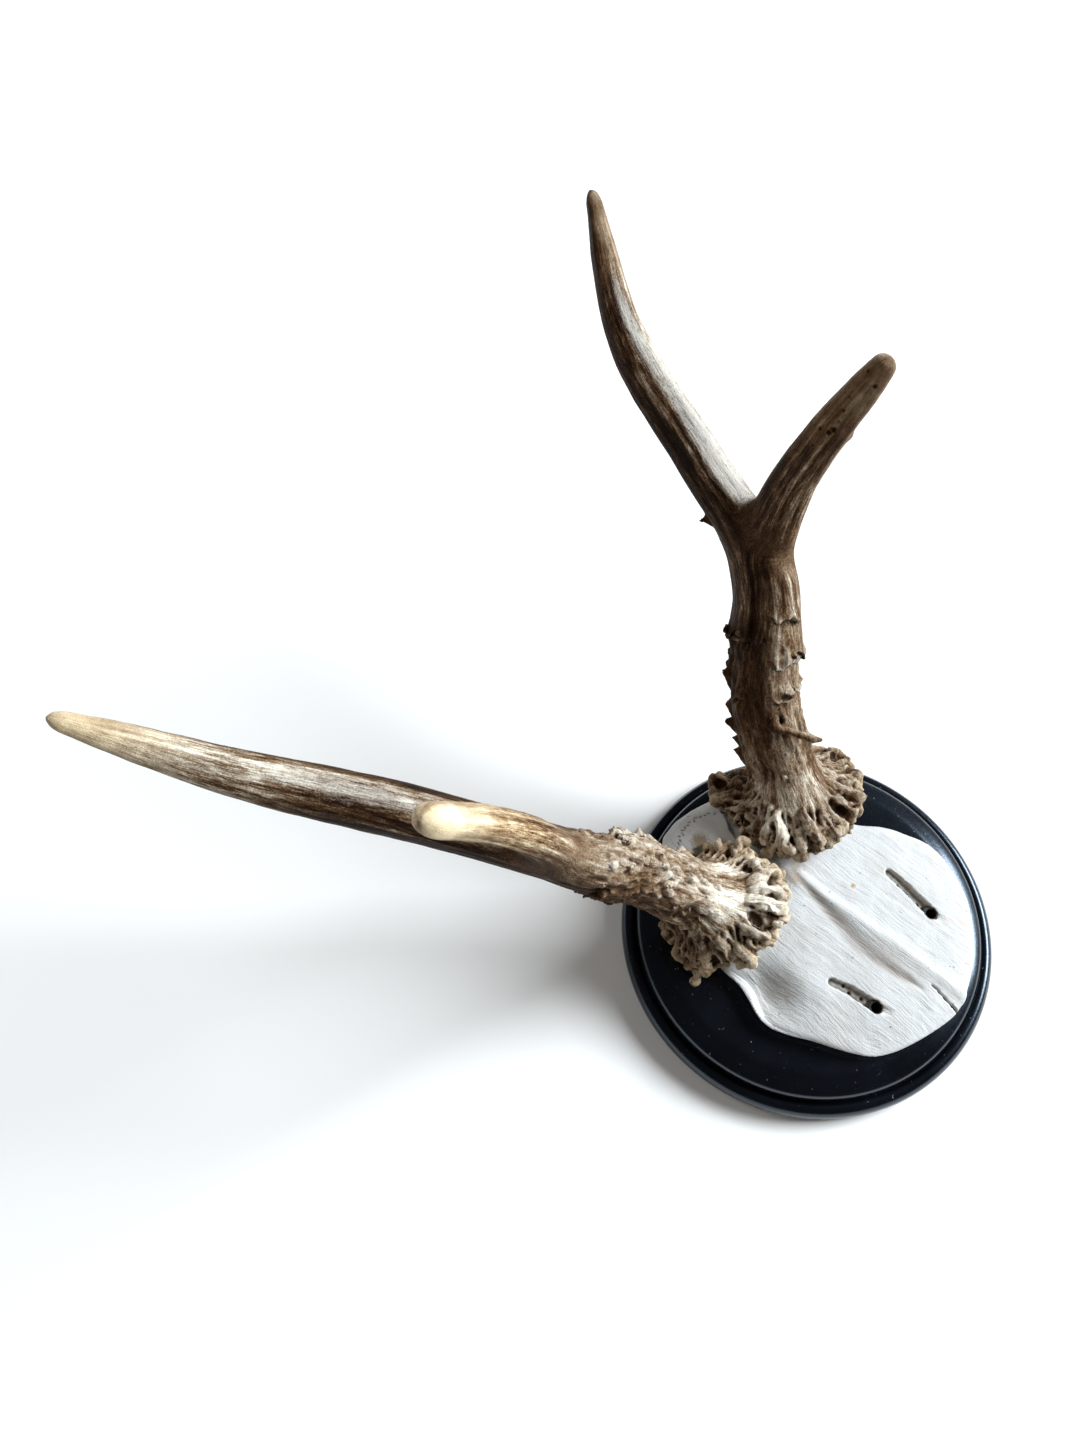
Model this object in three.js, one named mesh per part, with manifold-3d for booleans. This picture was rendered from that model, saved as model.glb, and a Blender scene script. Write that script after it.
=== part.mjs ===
// Roebuck trophy: two forked antlers on a bleached skull plate, screwed to a round turned plaque.
//
// Millimetres. The plaque lies on its flat back: +Z is its normal, +Y points to the back of the
// head, where the antlers sweep, and +X is the viewer's right when the plaque hangs on a wall.
// The origin is the centre of the plaque's flat back.

import * as THREE from 'three';
import Module from 'manifold-3d';
import { mergeVertices } from 'three/addons/utils/BufferGeometryUtils.js';

const wasm = await Module();
wasm.setup();

// ---------------------------------------------------------------- driving dimensions

const GAP = 0.3; // between neighbouring pieces

const PLAQUE_RADIUS = 60;
const PLAQUE_HEIGHT = 15;
const PLAQUE_SEGMENTS = 40;

const MEDIAN_X = 5; // the skull's middle line; it sits a little off the plaque's centre
const PLATE_BOTTOM = PLAQUE_HEIGHT + GAP;
const PLATE_STATIONS = 28;

const GROOVE_WIDTH = 3.6; // supraorbital grooves
const FORAMEN_DIAMETER = 4.2;

const PEDICLE_RADIUS = 9;
const BURR_SEAT = -3; // underside of a burr, along its own axis

const GOLDEN_ANGLE = 137.5; // degrees between one pearl and the next

const SCREW_HEAD_RADIUS = 4;
const SCREW_SHANK_RADIUS = 2;
const SCREW_LENGTH = 19.5;
const SCREW_PLACES = [
  [MEDIAN_X, -24],
  [MEDIAN_X, 30],
];

// Each antler: its path from the burr to the main tip, the tine's path from the fork, and
// sections [distance along the path, width in the fork's plane, thickness across it].
const LEFT = {
  path: [[-17.9, 22.6, 26.7], [-33, 42.3, 56.8], [-50.1, 54.4, 87.4], [-70.2, 92.3, 99.9],
    [-92.2, 129.2, 112], [-113.4, 164.6, 133]],
  tinePath: [[-50.1, 54.4, 87.4], [-58.3, 60.8, 111.5], [-68.1, 64.1, 134.5], [-79.2, 64.9, 158.8]],
  sections: [[0, 21, 20], [22, 20.5, 19], [42, 20, 17.2], [64, 21, 14.8], [78, 22, 13.8], [90, 18, 13.8],
    [100, 15, 14.2], [124, 14.6, 14.6], [148, 14, 14], [160, 13, 13], [173, 11.6, 11.6], [187, 9.8, 9.8],
    [200, 7.6, 7.6], [206, 6, 6]],
  tineSections: [[0, 15, 9], [12, 16, 9.4], [24, 13.4, 9.4], [40, 11.6, 9], [60, 9.4, 7.8], [72, 7.4, 6.6]],
  burr: {
    knobs: 14,
    beads: 10,
    seed: 11,
    outline: [[-180, 21.5], [-137, 21.3], [-108, 21], [-84, 23], [-66, 22.4], [-52, 18.2], [-32, 20.4],
      [0, 19.6], [41, 21.2], [66, 22.2], [87, 20.2], [117, 22.4], [150, 21.6], [180, 21.5]],
  },
  pearls: { seed: 5, count: 20, from: 16, to: 66 },
  spikes: [
    { along: 78, angle: 62, radius: 3.4, height: 2.4 },
    { along: 61, angle: 48, radius: 3.8, height: 2.6 },
    { along: 52, angle: 34, radius: 2.4, height: 3.6 },
    { along: 26, angle: -60, radius: 2.6, height: 3.4 },
    { along: 33, angle: 150, radius: 3, height: 4 },
  ],
};

const RIGHT = {
  path: [[24.4, 24.1, 27.1], [34.4, 48, 58.7], [53.8, 67.8, 91.4], [66.8, 99.2, 100.9],
    [81.3, 139.9, 116.1], [105.2, 172.8, 137.2]],
  tinePath: [[53.8, 67.8, 91.4], [62.6, 69.2, 113.9], [68.3, 64.8, 136.3], [78.8, 58.2, 158.6]],
  sections: [[0, 21, 20], [22, 21.5, 19], [42, 21.5, 17.6], [57, 20.4, 15.4], [58.5, 22.4, 17],
    [78, 23, 15.4], [90, 19.5, 14.8], [100, 15.6, 14], [124, 14, 13.4], [148, 13.6, 13],
    [160, 12.6, 12.2], [173, 10.8, 10.6], [187, 9.2, 9], [195, 7.8, 7.6], [205, 5.4, 5.4]],
  tineSections: [[0, 16, 11], [12, 17.6, 11.4], [22, 15, 10.8], [34, 12.6, 10], [50, 11, 9], [62, 9.8, 8.2],
    [70, 8.4, 7.6]],
  burr: {
    knobs: 15,
    beads: 10,
    seed: 23,
    outline: [[-180, 26], [-168, 29], [-149, 25.5], [-139, 21.4], [-129, 22], [-104, 20.6], [-61, 20],
      [-39, 20.6], [-9, 20.2], [26, 21.6], [61, 25.2], [93, 28.6], [111, 25.6], [140, 22.5], [180, 26]],
  },
  pearls: { seed: 8, count: 18, from: 16, to: 58 },
  spikes: [
    { along: 27, angle: -6, radius: 2.6, height: 6.4 },
    { along: 100, angle: -135, radius: 2, height: 3.4 },
    { along: 54, angle: -137, radius: 3.4, height: 2.4 },
    { along: 47.5, angle: -138, radius: 2.4, height: 4 },
    { along: 33.5, angle: -140, radius: 2.2, height: 4.6 },
    { along: 23, angle: -150, radius: 2.2, height: 4 },
  ],
};

// ---------------------------------------------------------------- materials

const paintedWood = new THREE.MeshStandardMaterial({ color: 0x15161a, roughness: 0.42, metalness: 0 });
const bleachedBone = new THREE.MeshStandardMaterial({ color: 0xe9e6e0, roughness: 0.8, metalness: 0 });
const antlerBone = new THREE.MeshStandardMaterial({ color: 0x8a7154, roughness: 0.7, metalness: 0 });
const screwSteel = new THREE.MeshStandardMaterial({ color: 0x8d8f92, roughness: 0.45, metalness: 1 });

// ---------------------------------------------------------------- general helpers

const toVector = ([x, y, z]) => new THREE.Vector3(x, y, z);

// Linear interpolation in rows of [key, value, value, ...].
function lookUp(rows, key) {
  let i = 0;
  while (i < rows.length - 2 && key > rows[i + 1][0]) i += 1;
  const [a, b] = [rows[i], rows[i + 1]];
  const t = THREE.MathUtils.clamp((key - a[0]) / (b[0] - a[0]), 0, 1);
  return a.slice(1).map((value, k) => THREE.MathUtils.lerp(value, b[k + 1], t));
}

function randomSource(seed) {
  let state = seed * 7919 + 17;
  return () => {
    state = (state * 16807) % 2147483647;
    return state / 2147483647;
  };
}

// A closed body from rings of equal length, each counter-clockwise as seen from the last ring.
function solidFromRings(rings) {
  const width = rings[0].length;
  const points = rings.flat();
  const faces = [];
  for (let k = 0; k < rings.length - 1; k += 1) {
    for (let j = 0; j < width; j += 1) {
      const a = k * width + j;
      const b = k * width + (j + 1) % width;
      faces.push(a, b, b + width, a, b + width, a + width);
    }
  }
  const centre = (ring) => ring.reduce((sum, p) => sum.add(p), new THREE.Vector3()).divideScalar(width);
  points.push(centre(rings[0]), centre(rings[rings.length - 1]));
  const last = (rings.length - 1) * width;
  for (let j = 0; j < width; j += 1) {
    const next = (j + 1) % width;
    faces.push(points.length - 2, next, j, points.length - 1, last + j, last + next);
  }
  const geometry = new THREE.BufferGeometry();
  geometry.setAttribute('position', new THREE.Float32BufferAttribute(points.flatMap((p) => p.toArray()), 3));
  geometry.setIndex(faces);
  return toManifold(geometry);
}

function toManifold(geometry) {
  geometry.deleteAttribute('normal');
  geometry.deleteAttribute('uv');
  const merged = mergeVertices(geometry, 1e-4);
  return new wasm.Manifold(new wasm.Mesh({
    numProp: 3,
    vertProperties: new Float32Array(merged.attributes.position.array),
    triVerts: new Uint32Array(merged.index.array),
  }));
}

function toMesh(name, solid, material) {
  const { vertProperties, triVerts, numProp } = solid.getMesh();
  const positions = [];
  for (let i = 0; i < vertProperties.length; i += numProp) {
    positions.push(vertProperties[i], vertProperties[i + 1], vertProperties[i + 2]);
  }
  const geometry = new THREE.BufferGeometry();
  geometry.setAttribute('position', new THREE.Float32BufferAttribute(positions, 3));
  geometry.setIndex(Array.from(triVerts));
  geometry.computeVertexNormals();
  const mesh = new THREE.Mesh(geometry, material);
  mesh.name = name;
  return mesh;
}

// A turned body about the vertical line through (x, y), from a profile of [radius, height].
function turned(profile, segments, x = 0, y = 0) {
  const outline = profile.map(([radius, height]) => new THREE.Vector2(radius, height));
  const geometry = new THREE.LatheGeometry(outline, segments);
  geometry.rotateX(Math.PI / 2);
  geometry.translate(x, y, 0);
  return toManifold(geometry);
}

// A cone standing on a point of a surface, its base sunk in by a third of its height.
function cone(base, direction, radius, height) {
  const geometry = new THREE.ConeGeometry(radius, height, 5);
  geometry.translate(0, height / 6, 0);
  const up = new THREE.Vector3(0, 1, 0);
  geometry.applyQuaternion(new THREE.Quaternion().setFromUnitVectors(up, direction.clone().normalize()));
  geometry.translate(base.x, base.y, base.z);
  return toManifold(geometry);
}

// ---------------------------------------------------------------- plaque and screws

function plaqueSolid() {
  const rim = PLAQUE_RADIUS;
  let solid = turned([
    [0, 0], [rim - 1.8, 0], [rim - 0.4, 2], [rim, 4.6], [rim - 0.7, 7], [rim - 2.4, 8.4], [rim - 4.2, 8.2],
    [rim - 5, 9.4], [rim - 6.6, 12.8], [rim - 9.2, 14.6], [rim - 12, PLAQUE_HEIGHT],
    [0, PLAQUE_HEIGHT],
  ], PLAQUE_SEGMENTS);
  for (const place of SCREW_PLACES) {
    solid = solid.subtract(screwShape(place, GAP));
  }
  return solid;
}

// A countersunk wood screw driven up through the plaque's back; grown by a margin it is its hole.
function screwShape([x, y], margin) {
  const head = SCREW_HEAD_RADIUS + margin;
  const shank = SCREW_SHANK_RADIUS + margin;
  const recess = margin > 0 ? -1 : 0.4;
  return turned([
    [0, recess], [head, recess], [head, 1 + margin], [shank, 3.4 + margin],
    [shank, SCREW_LENGTH - 3 + margin], [0, SCREW_LENGTH + margin],
  ], 12, x, y);
}

// ---------------------------------------------------------------- skull plate

// Outline rows [y, left edge, right edge], from the nose end to the back of the brain case.
const PLATE_OUTLINE = [
  [-51.2, 1.6, 6.8], [-50.4, -1.6, 10], [-48.6, -7, 15.6], [-45.9, -13.6, 21.9], [-42.4, -20.3, 27.3],
  [-38.6, -25.1, 32.2], [-34, -27.9, 36.4], [-28.4, -30.4, 39.7], [-22, -32.9, 42.6], [-15.6, -35.9, 43.4],
  [-8.8, -37.8, 41.8], [-4, -36.6, 40.4], [0, -34.6, 38.4], [5, -32.7, 35], [12, -32, 32.2],
  [20, -28, 30.5], [32, -22.6, 29], [41, -18.8, 23], [46.6, -15.4, 14], [50.4, -11.6, 6.2],
  [52.6, -8, -0.5],
];
// Thickness along the middle line, rows [y, height above the sawn face].
const PLATE_CROWN = [
  [-51.2, 2.6], [-49.6, 4], [-44, 5.6], [-30, 7.4], [-10, 8.6], [10, 9.4], [28, 9.4], [38, 8.4], [46, 6.4],
  [50.5, 4], [52.6, 1.8],
];

function plateTop(side, y) {
  const [crown] = lookUp(PLATE_CROWN, y);
  const spread = Math.abs(side);
  const dome = crown * (1 - 0.4 * spread ** 2.4);
  const ridge = 0.9 * Math.exp(-((spread / 0.05) ** 2));
  const furrow = side < 0 ? 0.7 * Math.exp(-(((spread - 0.14) / 0.06) ** 2)) : 0;
  return dome + (y < 30 ? ridge - furrow : 0);
}

function plateSolid() {
  const edges = new THREE.CatmullRomCurve3(PLATE_OUTLINE.map(toVector), false, 'centripetal');
  const topSides = [1, 0.94, 0.78, 0.5, 0.22, 0.06, 0, -0.06, -0.14, -0.24, -0.5, -0.78, -0.94, -1];
  const rings = [];
  for (let k = 0; k < PLATE_STATIONS; k += 1) {
    const { x: y, y: left, z: right } = edges.getPoint(k / (PLATE_STATIONS - 1));
    const span = right - left;
    const middle = THREE.MathUtils.clamp(MEDIAN_X, left + 0.36 * span, right - 0.36 * span);
    const across = (side) => middle + side * (side < 0 ? middle - left : right - middle);
    const [crown] = lookUp(PLATE_CROWN, y);
    // The eye sockets' rims stand clear of the plaque.
    const arch = 2.8 * THREE.MathUtils.smoothstep(y, -47, -38) * (1 - THREE.MathUtils.smoothstep(y, -2, 9));
    const point = (side, height) => new THREE.Vector3(across(side), y, PLATE_BOTTOM + height);
    const ring = topSides.map((side) => {
      const atEdge = Math.abs(side) === 1;
      return point(side, atEdge ? Math.max(crown * 0.36, arch + 0.9) : plateTop(side, y));
    });
    ring.push(point(-0.97, arch), point(-0.8, 0), point(0, 0), point(0.8, 0), point(0.97, arch));
    rings.push(ring);
  }
  return solidFromRings(rings.reverse());
}

// A cutter for a slot with round ends between two places, with a flat floor.
function slotCut(from, to, width, floor) {
  const start = new THREE.Vector2(...from);
  const length = start.distanceTo(new THREE.Vector2(...to));
  const angle = Math.atan2(to[1] - from[1], to[0] - from[0]);
  const outline = new THREE.Shape();
  outline.absarc(length, 0, width / 2, -Math.PI / 2, Math.PI / 2);
  outline.absarc(0, 0, width / 2, Math.PI / 2, Math.PI * 1.5);
  const geometry = new THREE.ExtrudeGeometry(outline, { depth: 20, bevelEnabled: false, curveSegments: 5 });
  geometry.rotateZ(angle);
  geometry.translate(start.x, start.y, floor);
  return toManifold(geometry);
}

// The bone peg under a burr, spreading at its foot.
function pedicleSolid(antler) {
  const { centre, lean, front, side } = burrFrame(antler);
  const rows = [[-11, PEDICLE_RADIUS + 3.4], [-7.5, PEDICLE_RADIUS + 1.2], [-5, PEDICLE_RADIUS],
    [BURR_SEAT, PEDICLE_RADIUS]];
  const rings = rows.map(([height, radius]) => circlePoints(16).map(([c, s]) => centre.clone()
    .addScaledVector(lean, height)
    .addScaledVector(front, radius * c)
    .addScaledVector(side, radius * s)));
  return solidFromRings(rings);
}

function circlePoints(count) {
  return Array.from({ length: count }, (_, j) => {
    const angle = (j / count) * Math.PI * 2;
    return [Math.cos(angle), Math.sin(angle), angle];
  });
}

// The room a burr needs above the skull: its seat, and a bowl that clears its knobs.
function burrRoom(antler) {
  const { centre, lean, front, side } = burrFrame(antler);
  const rows = [
    { radius: PEDICLE_RADIUS + 1.4, height: BURR_SEAT - GAP },
    { radius: 14, height: BURR_SEAT - 2.6 },
    { share: 0.86, height: BURR_SEAT - 4 },
    { share: 1.12, height: BURR_SEAT - 4 },
    { share: 1.12, height: 8 },
  ];
  const rings = rows.map(({ radius, share, height }) => circlePoints(18).map(([c, s, angle]) => {
    const reach = radius ?? share * rimRadius(antler, angle);
    return centre.clone().addScaledVector(lean, height)
      .addScaledVector(front, reach * c)
      .addScaledVector(side, reach * s);
  }));
  return solidFromRings(rings);
}

function skullPlateSolid() {
  let solid = plateSolid();
  for (const antler of [LEFT, RIGHT]) {
    solid = solid.add(pedicleSolid(antler));
  }
  for (const antler of [LEFT, RIGHT]) {
    solid = solid.subtract(burrRoom(antler));
  }
  const below = turned([[0, -20], [90, -20], [90, PLATE_BOTTOM], [0, PLATE_BOTTOM]], 12);
  solid = solid.subtract(below);
  const surface = PLATE_BOTTOM + 6;
  const grooves = [
    { from: [-14.8, -17], to: [-12.2, -32] },
    { from: [25.4, -12.4], to: [24.2, -29] },
  ];
  for (const { from, to } of grooves) {
    solid = solid.subtract(slotCut(from, to, GROOVE_WIDTH, surface - 0.6));
    solid = solid.subtract(slotCut(to, to, FORAMEN_DIAMETER, surface - 4.4));
  }
  const crack = slotCut([3.6, -41], [4.6, -56], 1.1, PLATE_BOTTOM + 1.6);
  solid = solid.subtract(crack);
  for (const place of SCREW_PLACES) {
    solid = solid.subtract(screwShape(place, GAP));
  }
  return solid;
}

// ---------------------------------------------------------------- antlers

// The burr's own axis leans half as far as the beam does; "front" is its side to the nose.
function burrFrame(antler) {
  const [base, next] = antler.path.map(toVector);
  const lean = next.clone().sub(base).normalize().add(new THREE.Vector3(0, 0, 1)).normalize();
  const front = new THREE.Vector3(0, -1, 0);
  front.addScaledVector(lean, -front.dot(lean)).normalize();
  const side = lean.clone().cross(front);
  return { centre: base, lean, front, side };
}

function rimRadius(antler, angle) {
  const degrees = THREE.MathUtils.euclideanModulo(THREE.MathUtils.radToDeg(angle) + 180, 360) - 180;
  return lookUp(antler.burr.outline, degrees)[0];
}

// Rings of points across a path; wide is measured in the plane of the fork.
function sweep(path, forkSide, stations, sides, shape) {
  const length = path.getLength();
  return stations.map((along) => {
    const centre = path.getPointAt(along / length);
    const tangent = path.getTangentAt(along / length);
    const wide = forkSide.clone().addScaledVector(tangent, -forkSide.dot(tangent)).normalize();
    const thick = tangent.clone().cross(wide);
    return circlePoints(sides).map(([c, s, angle]) => {
      const [w, t] = shape(along, angle);
      return centre.clone().addScaledVector(wide, w * c).addScaledVector(thick, t * s);
    });
  });
}

function evenSteps(from, to, count) {
  return Array.from({ length: count + 1 }, (_, k) => THREE.MathUtils.lerp(from, to, k / count));
}

// Long shallow flutes run up the middle of a branch and fade out at its tip.
function fluted(angle, along, phase) {
  return 1 + 0.035 * Math.cos(5 * angle + phase + along * 0.02) + 0.02 * Math.cos(3 * angle - along * 0.05);
}

function beamCurve(antler) {
  return new THREE.CatmullRomCurve3(antler.path.map(toVector), false, 'centripetal');
}

function tineCurve(antler) {
  return new THREE.CatmullRomCurve3(antler.tinePath.map(toVector), false, 'centripetal');
}

function forkSide(antler) {
  const [fork, , tip] = antler.tinePath.map(toVector);
  return tip.sub(fork).normalize();
}

function branchSolid(curve, side, sections, sides, count, margin, start) {
  const length = curve.getLength();
  const tip = sections[sections.length - 1];
  const stations = [...evenSteps(start, tip[0], count), tip[0] + (length - tip[0]) * 0.7, length - 0.2];
  const shape = (along, angle) => {
    const [wide, thick] = lookUp(sections, along);
    const beyond = Math.max(0, along - tip[0]) / (length - tip[0]);
    const rounding = Math.sqrt(Math.max(0.05, 1 - beyond * beyond));
    const size = (rounding * fluted(angle, along, 1.3)) / 2;
    return [wide * size + margin, thick * size + margin];
  };
  return solidFromRings(sweep(curve, side, stations, sides, shape));
}

// A burr: a flat seat, a knobbly rim, and ridges that climb to the neck of the beam.
function burrSolid(antler) {
  const { centre, lean, front, side } = burrFrame(antler);
  const curve = beamCurve(antler);
  const length = curve.getLength();
  const { knobs, beads, seed } = antler.burr;
  const random = randomSource(seed);
  const pattern = [-1, 0.6, 0.8];
  const sides = knobs * pattern.length;
  const knobSizes = Array.from({ length: knobs }, () => 0.45 + 1.05 * random());
  const knobTilts = Array.from({ length: knobs }, () => random() - 0.5);
  // Radius in mm or as a share of the rim's, height along the axis, and how far the knobs stand out.
  const rows = [
    { radius: PEDICLE_RADIUS + 0.8, height: BURR_SEAT, depth: 0 },
    { radius: 13.5, height: BURR_SEAT - 1.2, depth: 0.4 },
    { share: 0.86, height: BURR_SEAT - 1.4, depth: 1.4 },
    { share: 1, height: -2, depth: 2.3 },
    { share: 1.01, height: 0.6, depth: 2.5 },
    { share: 0.9, height: 3, depth: 2.1 },
    { share: 0.72, height: 6, depth: 1.5 },
    { radius: 12.6, height: 10.5, depth: 0.9 },
    { radius: 10.8, height: 16, depth: 0.4 },
    { radius: 8, height: 20, depth: 0 },
  ];
  const rings = rows.map(({ radius, share, height, depth }) => {
    const climb = Math.max(0, height);
    const blend = climb / 20;
    const middle = centre.clone().addScaledVector(lean, Math.min(0, height));
    middle.add(curve.getPointAt(climb / length)).sub(centre);
    const axis = lean.clone().lerp(curve.getTangentAt(climb / length), blend).normalize();
    const ahead = front.clone().addScaledVector(axis, -front.dot(axis)).normalize();
    const aside = axis.clone().cross(ahead);
    return circlePoints(sides).map(([, , angle], j) => {
      const knob = Math.floor(j / pattern.length);
      const size = knobSizes[knob];
      const lift = pattern[j % pattern.length] * (share ? size : size * size);
      const turn = angle + 0.13 * Math.sin(3 * angle + seed) + 0.08 * Math.sin(5 * angle - seed);
      const plain = radius ?? share * rimRadius(antler, turn);
      const reach = plain + depth * lift * (share ? 0.62 : 0.5);
      const bob = depth * 1.2 * knobTilts[knob] + (share ? 0.35 * depth * lift : 0);
      return middle.clone().addScaledVector(ahead, reach * Math.cos(turn))
        .addScaledVector(aside, reach * Math.sin(turn)).addScaledVector(lean, bob);
    });
  });
  let solid = solidFromRings(rings);
  for (let k = 0; k < beads; k += 1) {
    const angle = (k + random()) * ((Math.PI * 2) / beads);
    const reach = rimRadius(antler, angle) * (0.8 + 0.16 * random());
    const bead = new THREE.IcosahedronGeometry(1.7 + 1.2 * random(), 0);
    bead.rotateX(random() * 3);
    const place = centre.clone().addScaledVector(lean, 1.2 + 3 * random())
      .addScaledVector(front, reach * Math.cos(angle))
      .addScaledVector(side, reach * Math.sin(angle));
    bead.translate(place.x, place.y, place.z);
    solid = solid.add(toManifold(bead));
  }
  return solid;
}

// A pearl or spike on the beam at a distance along it and an angle from the fork's side.
function spikeSolid(antler, { along, angle, radius, height }) {
  const curve = beamCurve(antler);
  const [wide, thick] = lookUp(antler.sections, along);
  const shape = () => [wide / 2, thick / 2];
  const [ring] = sweep(curve, forkSide(antler), [along], 72, shape);
  const foot = ring[Math.round(THREE.MathUtils.euclideanModulo(angle, 360) / 5) % 72];
  const centre = curve.getPointAt(along / curve.getLength());
  const out = foot.clone().sub(centre).normalize();
  out.addScaledVector(curve.getTangentAt(along / curve.getLength()), 0.25);
  return cone(foot, out, radius, height * 1.4);
}

function beamSolid(antler, margin) {
  const curve = beamCurve(antler);
  return branchSolid(curve, forkSide(antler), antler.sections, 14, 31, margin, 9);
}

function antlerBeamSolid(antler) {
  let solid = beamSolid(antler, 0).add(burrSolid(antler));
  const { seed, count, from, to } = antler.pearls;
  const random = randomSource(seed);
  for (let k = 0; k < count; k += 1) {
    const along = THREE.MathUtils.lerp(from, to, (k + random() * 0.6) / count);
    const angle = k * GOLDEN_ANGLE + 40 * random();
    const radius = 1.7 + 1.3 * random();
    solid = solid.add(spikeSolid(antler, { along, angle, radius, height: radius * (0.7 + 0.7 * random()) }));
  }
  for (const spike of antler.spikes) {
    solid = solid.add(spikeSolid(antler, spike));
  }
  return solid;
}

function antlerTineSolid(antler) {
  const tine = branchSolid(tineCurve(antler), beamSide(antler), antler.tineSections, 14, 10, 0, 0);
  return tine.subtract(beamSolid(antler, GAP));
}

// The tine's wide direction lies in the fork's plane too, along the main branch.
function beamSide(antler) {
  const [, , fork, next] = antler.path.map(toVector);
  return next.sub(fork).normalize();
}

// ---------------------------------------------------------------- the trophy

const trophy = new THREE.Group();
trophy.add(toMesh('plaque', plaqueSolid(), paintedWood));
trophy.add(toMesh('skull_plate', skullPlateSolid(), bleachedBone));
trophy.add(toMesh('left_antler_beam', antlerBeamSolid(LEFT), antlerBone));
trophy.add(toMesh('left_antler_tine', antlerTineSolid(LEFT), antlerBone));
trophy.add(toMesh('right_antler_beam', antlerBeamSolid(RIGHT), antlerBone));
trophy.add(toMesh('right_antler_tine', antlerTineSolid(RIGHT), antlerBone));
SCREW_PLACES.forEach((place, k) => {
  trophy.add(toMesh(`fixing_screw_${k + 1}`, screwShape(place, 0), screwSteel));
});

export default trophy;
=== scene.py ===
"""Roebuck trophy: two forked antlers on their bleached skull plate, on a round black plaque.

Shapes are worked out in millimetres in the part's own frame and scaled to metres at the end:
+Z is the plaque's normal, +Y the back of the head, +X the viewer's right.
"""

import math
import random

import bmesh
import bpy
import numpy as np
from mathutils import Matrix, Vector, noise


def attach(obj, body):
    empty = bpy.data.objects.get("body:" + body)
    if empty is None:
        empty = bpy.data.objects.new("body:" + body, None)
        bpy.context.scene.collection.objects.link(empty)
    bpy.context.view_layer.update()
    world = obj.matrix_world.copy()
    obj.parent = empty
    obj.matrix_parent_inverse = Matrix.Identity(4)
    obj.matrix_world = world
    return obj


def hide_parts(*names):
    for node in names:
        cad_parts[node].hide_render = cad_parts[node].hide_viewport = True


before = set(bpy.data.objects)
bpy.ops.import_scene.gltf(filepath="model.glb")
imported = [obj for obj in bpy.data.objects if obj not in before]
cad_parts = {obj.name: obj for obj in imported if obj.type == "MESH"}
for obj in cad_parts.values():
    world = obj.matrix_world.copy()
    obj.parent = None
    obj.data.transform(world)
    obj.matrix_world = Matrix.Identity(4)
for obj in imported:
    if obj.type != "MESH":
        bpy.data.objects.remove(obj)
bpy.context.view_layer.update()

# ---------------------------------------------------------------- measures, in millimetres

MM = 0.001
MEDIAN_X = 5
PLAQUE_HEIGHT = 15
PLATE_BOTTOM = 15.3
TINE_ENTRY = 15
FORK_BLEND = 15
GRAIN_RADIUS = 8
ROD_VOXEL = 1.1
ANTLER_VOXEL = 0.42
PLATE_VOXEL = 0.4
ROD_SIDES = 48
BURR_SIDES = 60
PEDICLE_SIDES = 40
ANTLER_TRIANGLES = 186000
PLATE_TRIANGLES = 150000

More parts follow.
